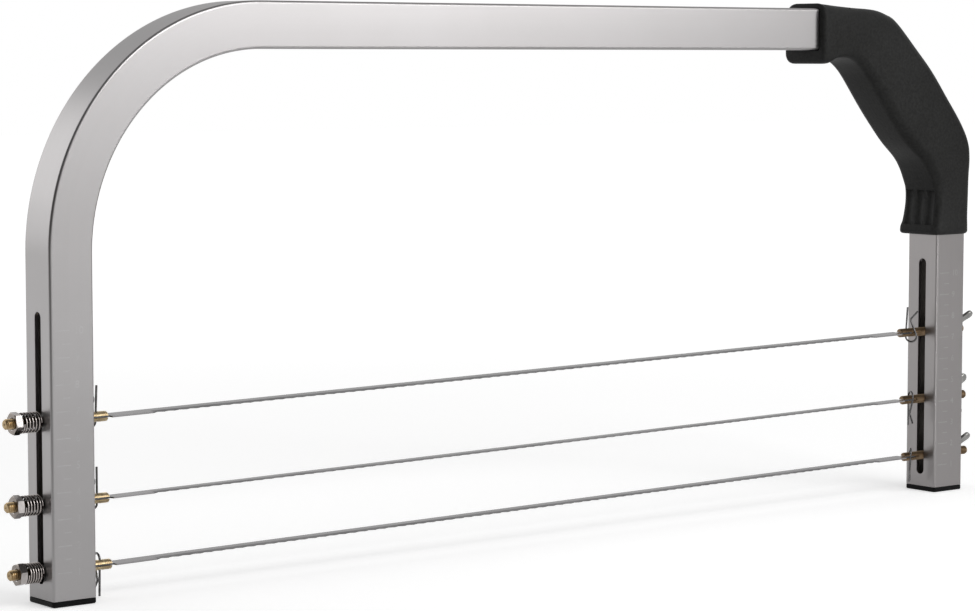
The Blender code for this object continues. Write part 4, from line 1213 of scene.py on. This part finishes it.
def makeWing(name, values, place, turns, body, node):
    bore, high, tall = values["bore"], values["hubHeight"], values["height"]
    neck, hub, ease = values["neck"], values["hub"], values["hubEdge"]
    profile = [(neck - ease, high), (neck, high - ease), (hub, high / 2), (hub, ease), (hub - ease, 0),
               (bore, 0), (bore, high)]
    shape = spunShape(profile, values["steps"], True)
    half, thick = values["span"] / 2, values["thickness"]
    root = bore + thick / 2
    outline = [(root, tall * values["root"][0]), *[(half * x, tall * z) for x, z in values["lowEdge"]]]
    outline += arcPoints((half - values["tip"], tall - values["tip"]), values["tip"], *values["tipArc"])
    outline += [*[(half * x, tall * z) for x, z in values["highEdge"]], (root, tall * values["root"][1])]
    for side in (1, -1):
        wing = bmesh.new()
        wing.faces.new([wing.verts.new((side * x, -thick / 2, z)) for x, z in outline])
        thicken(wing, y=thick)
        bevel(wing, sharpEdges(wing, 60), values["easing"], 3, clamp=True)
        shape = carved(shape, [wing], "UNION")
    addPiece(name, moved(shape, place, turns), "wing", body, (node,), 40)


def makeBladeSet(name, row):
    line, carriage, wing = name + "_line", name + "_carriage", name + "_wing"
    left, right, roll = row["left"], row["right"], row["roll"]
    leftEnd, rightEnd = leftInner + row["leftInside"], rightInner - row["rightInside"]
    makeStud(name + "LeftStud", leftStud, (leftEnd, 0, left), (roll, 90, 0), line, name + "_left_stud")
    makeStud(name + "RightStud", rightStud, (rightEnd, 0, right), (roll, -90, 0), line, name + "_right_stud")
    leftPin = Vector((leftEnd - studValues["pinSetback"], 0, left))
    rightPin = Vector((rightEnd + studValues["pinSetback"], 0, right))
    run = rightPin - leftPin
    slant = -math.degrees(math.atan2(run.z, run.x))
    makeBlade(name + "Blade", bladeValues, run.length, leftPin, (roll, slant, 0), line, name + "_blade")
    for side, pin in (("Left", leftPin), ("Right", rightPin)):
        up, turn = row[side.lower() + "Clip"]
        makeClip(name + side + "Clip", clipValues, up, pin, (roll, 0, turn), line, f"{name}_{side.lower()}_clip")
    seat = leftEnd - studValues["leftLength"] + studValues["pastNut"] + nutValues["height"]
    makeNut(name + "Nut", nutValues, (seat, 0, left), (row["nutTurn"], -90, 0), line, name + "_tension_nut")
    face = tubeValues["leftFace"]
    makeSpring(name + "Spring", springValues, face - seat, (face, 0, left), (0, -90, 0),
               name + "_spring")
    place = (tubeValues["rightFace"] + washerValues["gap"], 0, right)
    makeWasher(name + "Washer", washerValues, place, (0, 90, 0), carriage, name + "_washer")
    place = (place[0] + washerValues["thickness"] + wingValues["gap"], 0, right)
    makeWing(name + "Wing", wingValues, place, (row["wingTurn"], 90, 0), wing, name + "_wing_nut")
    print(name, "blade made")


leftStud = slottedStud(studValues, studValues["leftLength"])
rightStud = slottedStud(studValues, studValues["rightLength"])
print("studs shaped")
for name, row in rowValues.items():
    makeBladeSet(name, row)

# Printed scale on the front of both legs: ticks every half centimetre and a number on every whole one
scaleValues = {
    "top": 105.5 * mm, "step": 5.13 * mm, "count": 18, "long": 6.2 * mm, "short": 3.1 * mm, "line": 0.38 * mm,
    "left": -7.4 * mm, "first": 10, "digits": 0.9 * mm, "digitSize": 4.0 * mm, "digitMiddle": 0.36,
    "proud": 0.03 * mm, "digitDepth": 0.75,
}


def makeScale(name, values, middle, finish):
    shape = bmesh.new()
    proud, size, half = values["proud"], values["digitSize"], values["line"] / 2
    face, thick = -halfTube - proud, proud * values["digitDepth"]
    high = values["left"] + values["long"]
    for number in range(values["count"] + 1):
        height = values["top"] - number * values["step"]
        whole = number % 2 == 0
        low = values["left"] if whole else high - values["short"]
        absorb(shape, meshOf(boxShape((middle + low, face, height - half),
                                      (middle + high, -halfTube + proud / 2, height + half))))
        if whole:
            text = bpy.data.curves.new("digits", "FONT")
            text.body = str(values["first"] - number // 2)
            text.size, text.extrude = size, thick
            mesh = curveMesh(text)
            place = (middle + values["digits"], face + thick, height - size * values["digitMiddle"])
            mesh.transform(Matrix.Translation(place) @ Matrix.Rotation(math.pi / 2, 4, "X"))
            absorb(shape, mesh)
    weld(shape, 0.0005 * mm)
    addPiece(name, shape, finish, "frame", ())


makeScale("leftScale", scaleValues, leftLeg, "print")
makeScale("rightScale", scaleValues, rightLeg, "shadedRightPrint")
print("scales made")
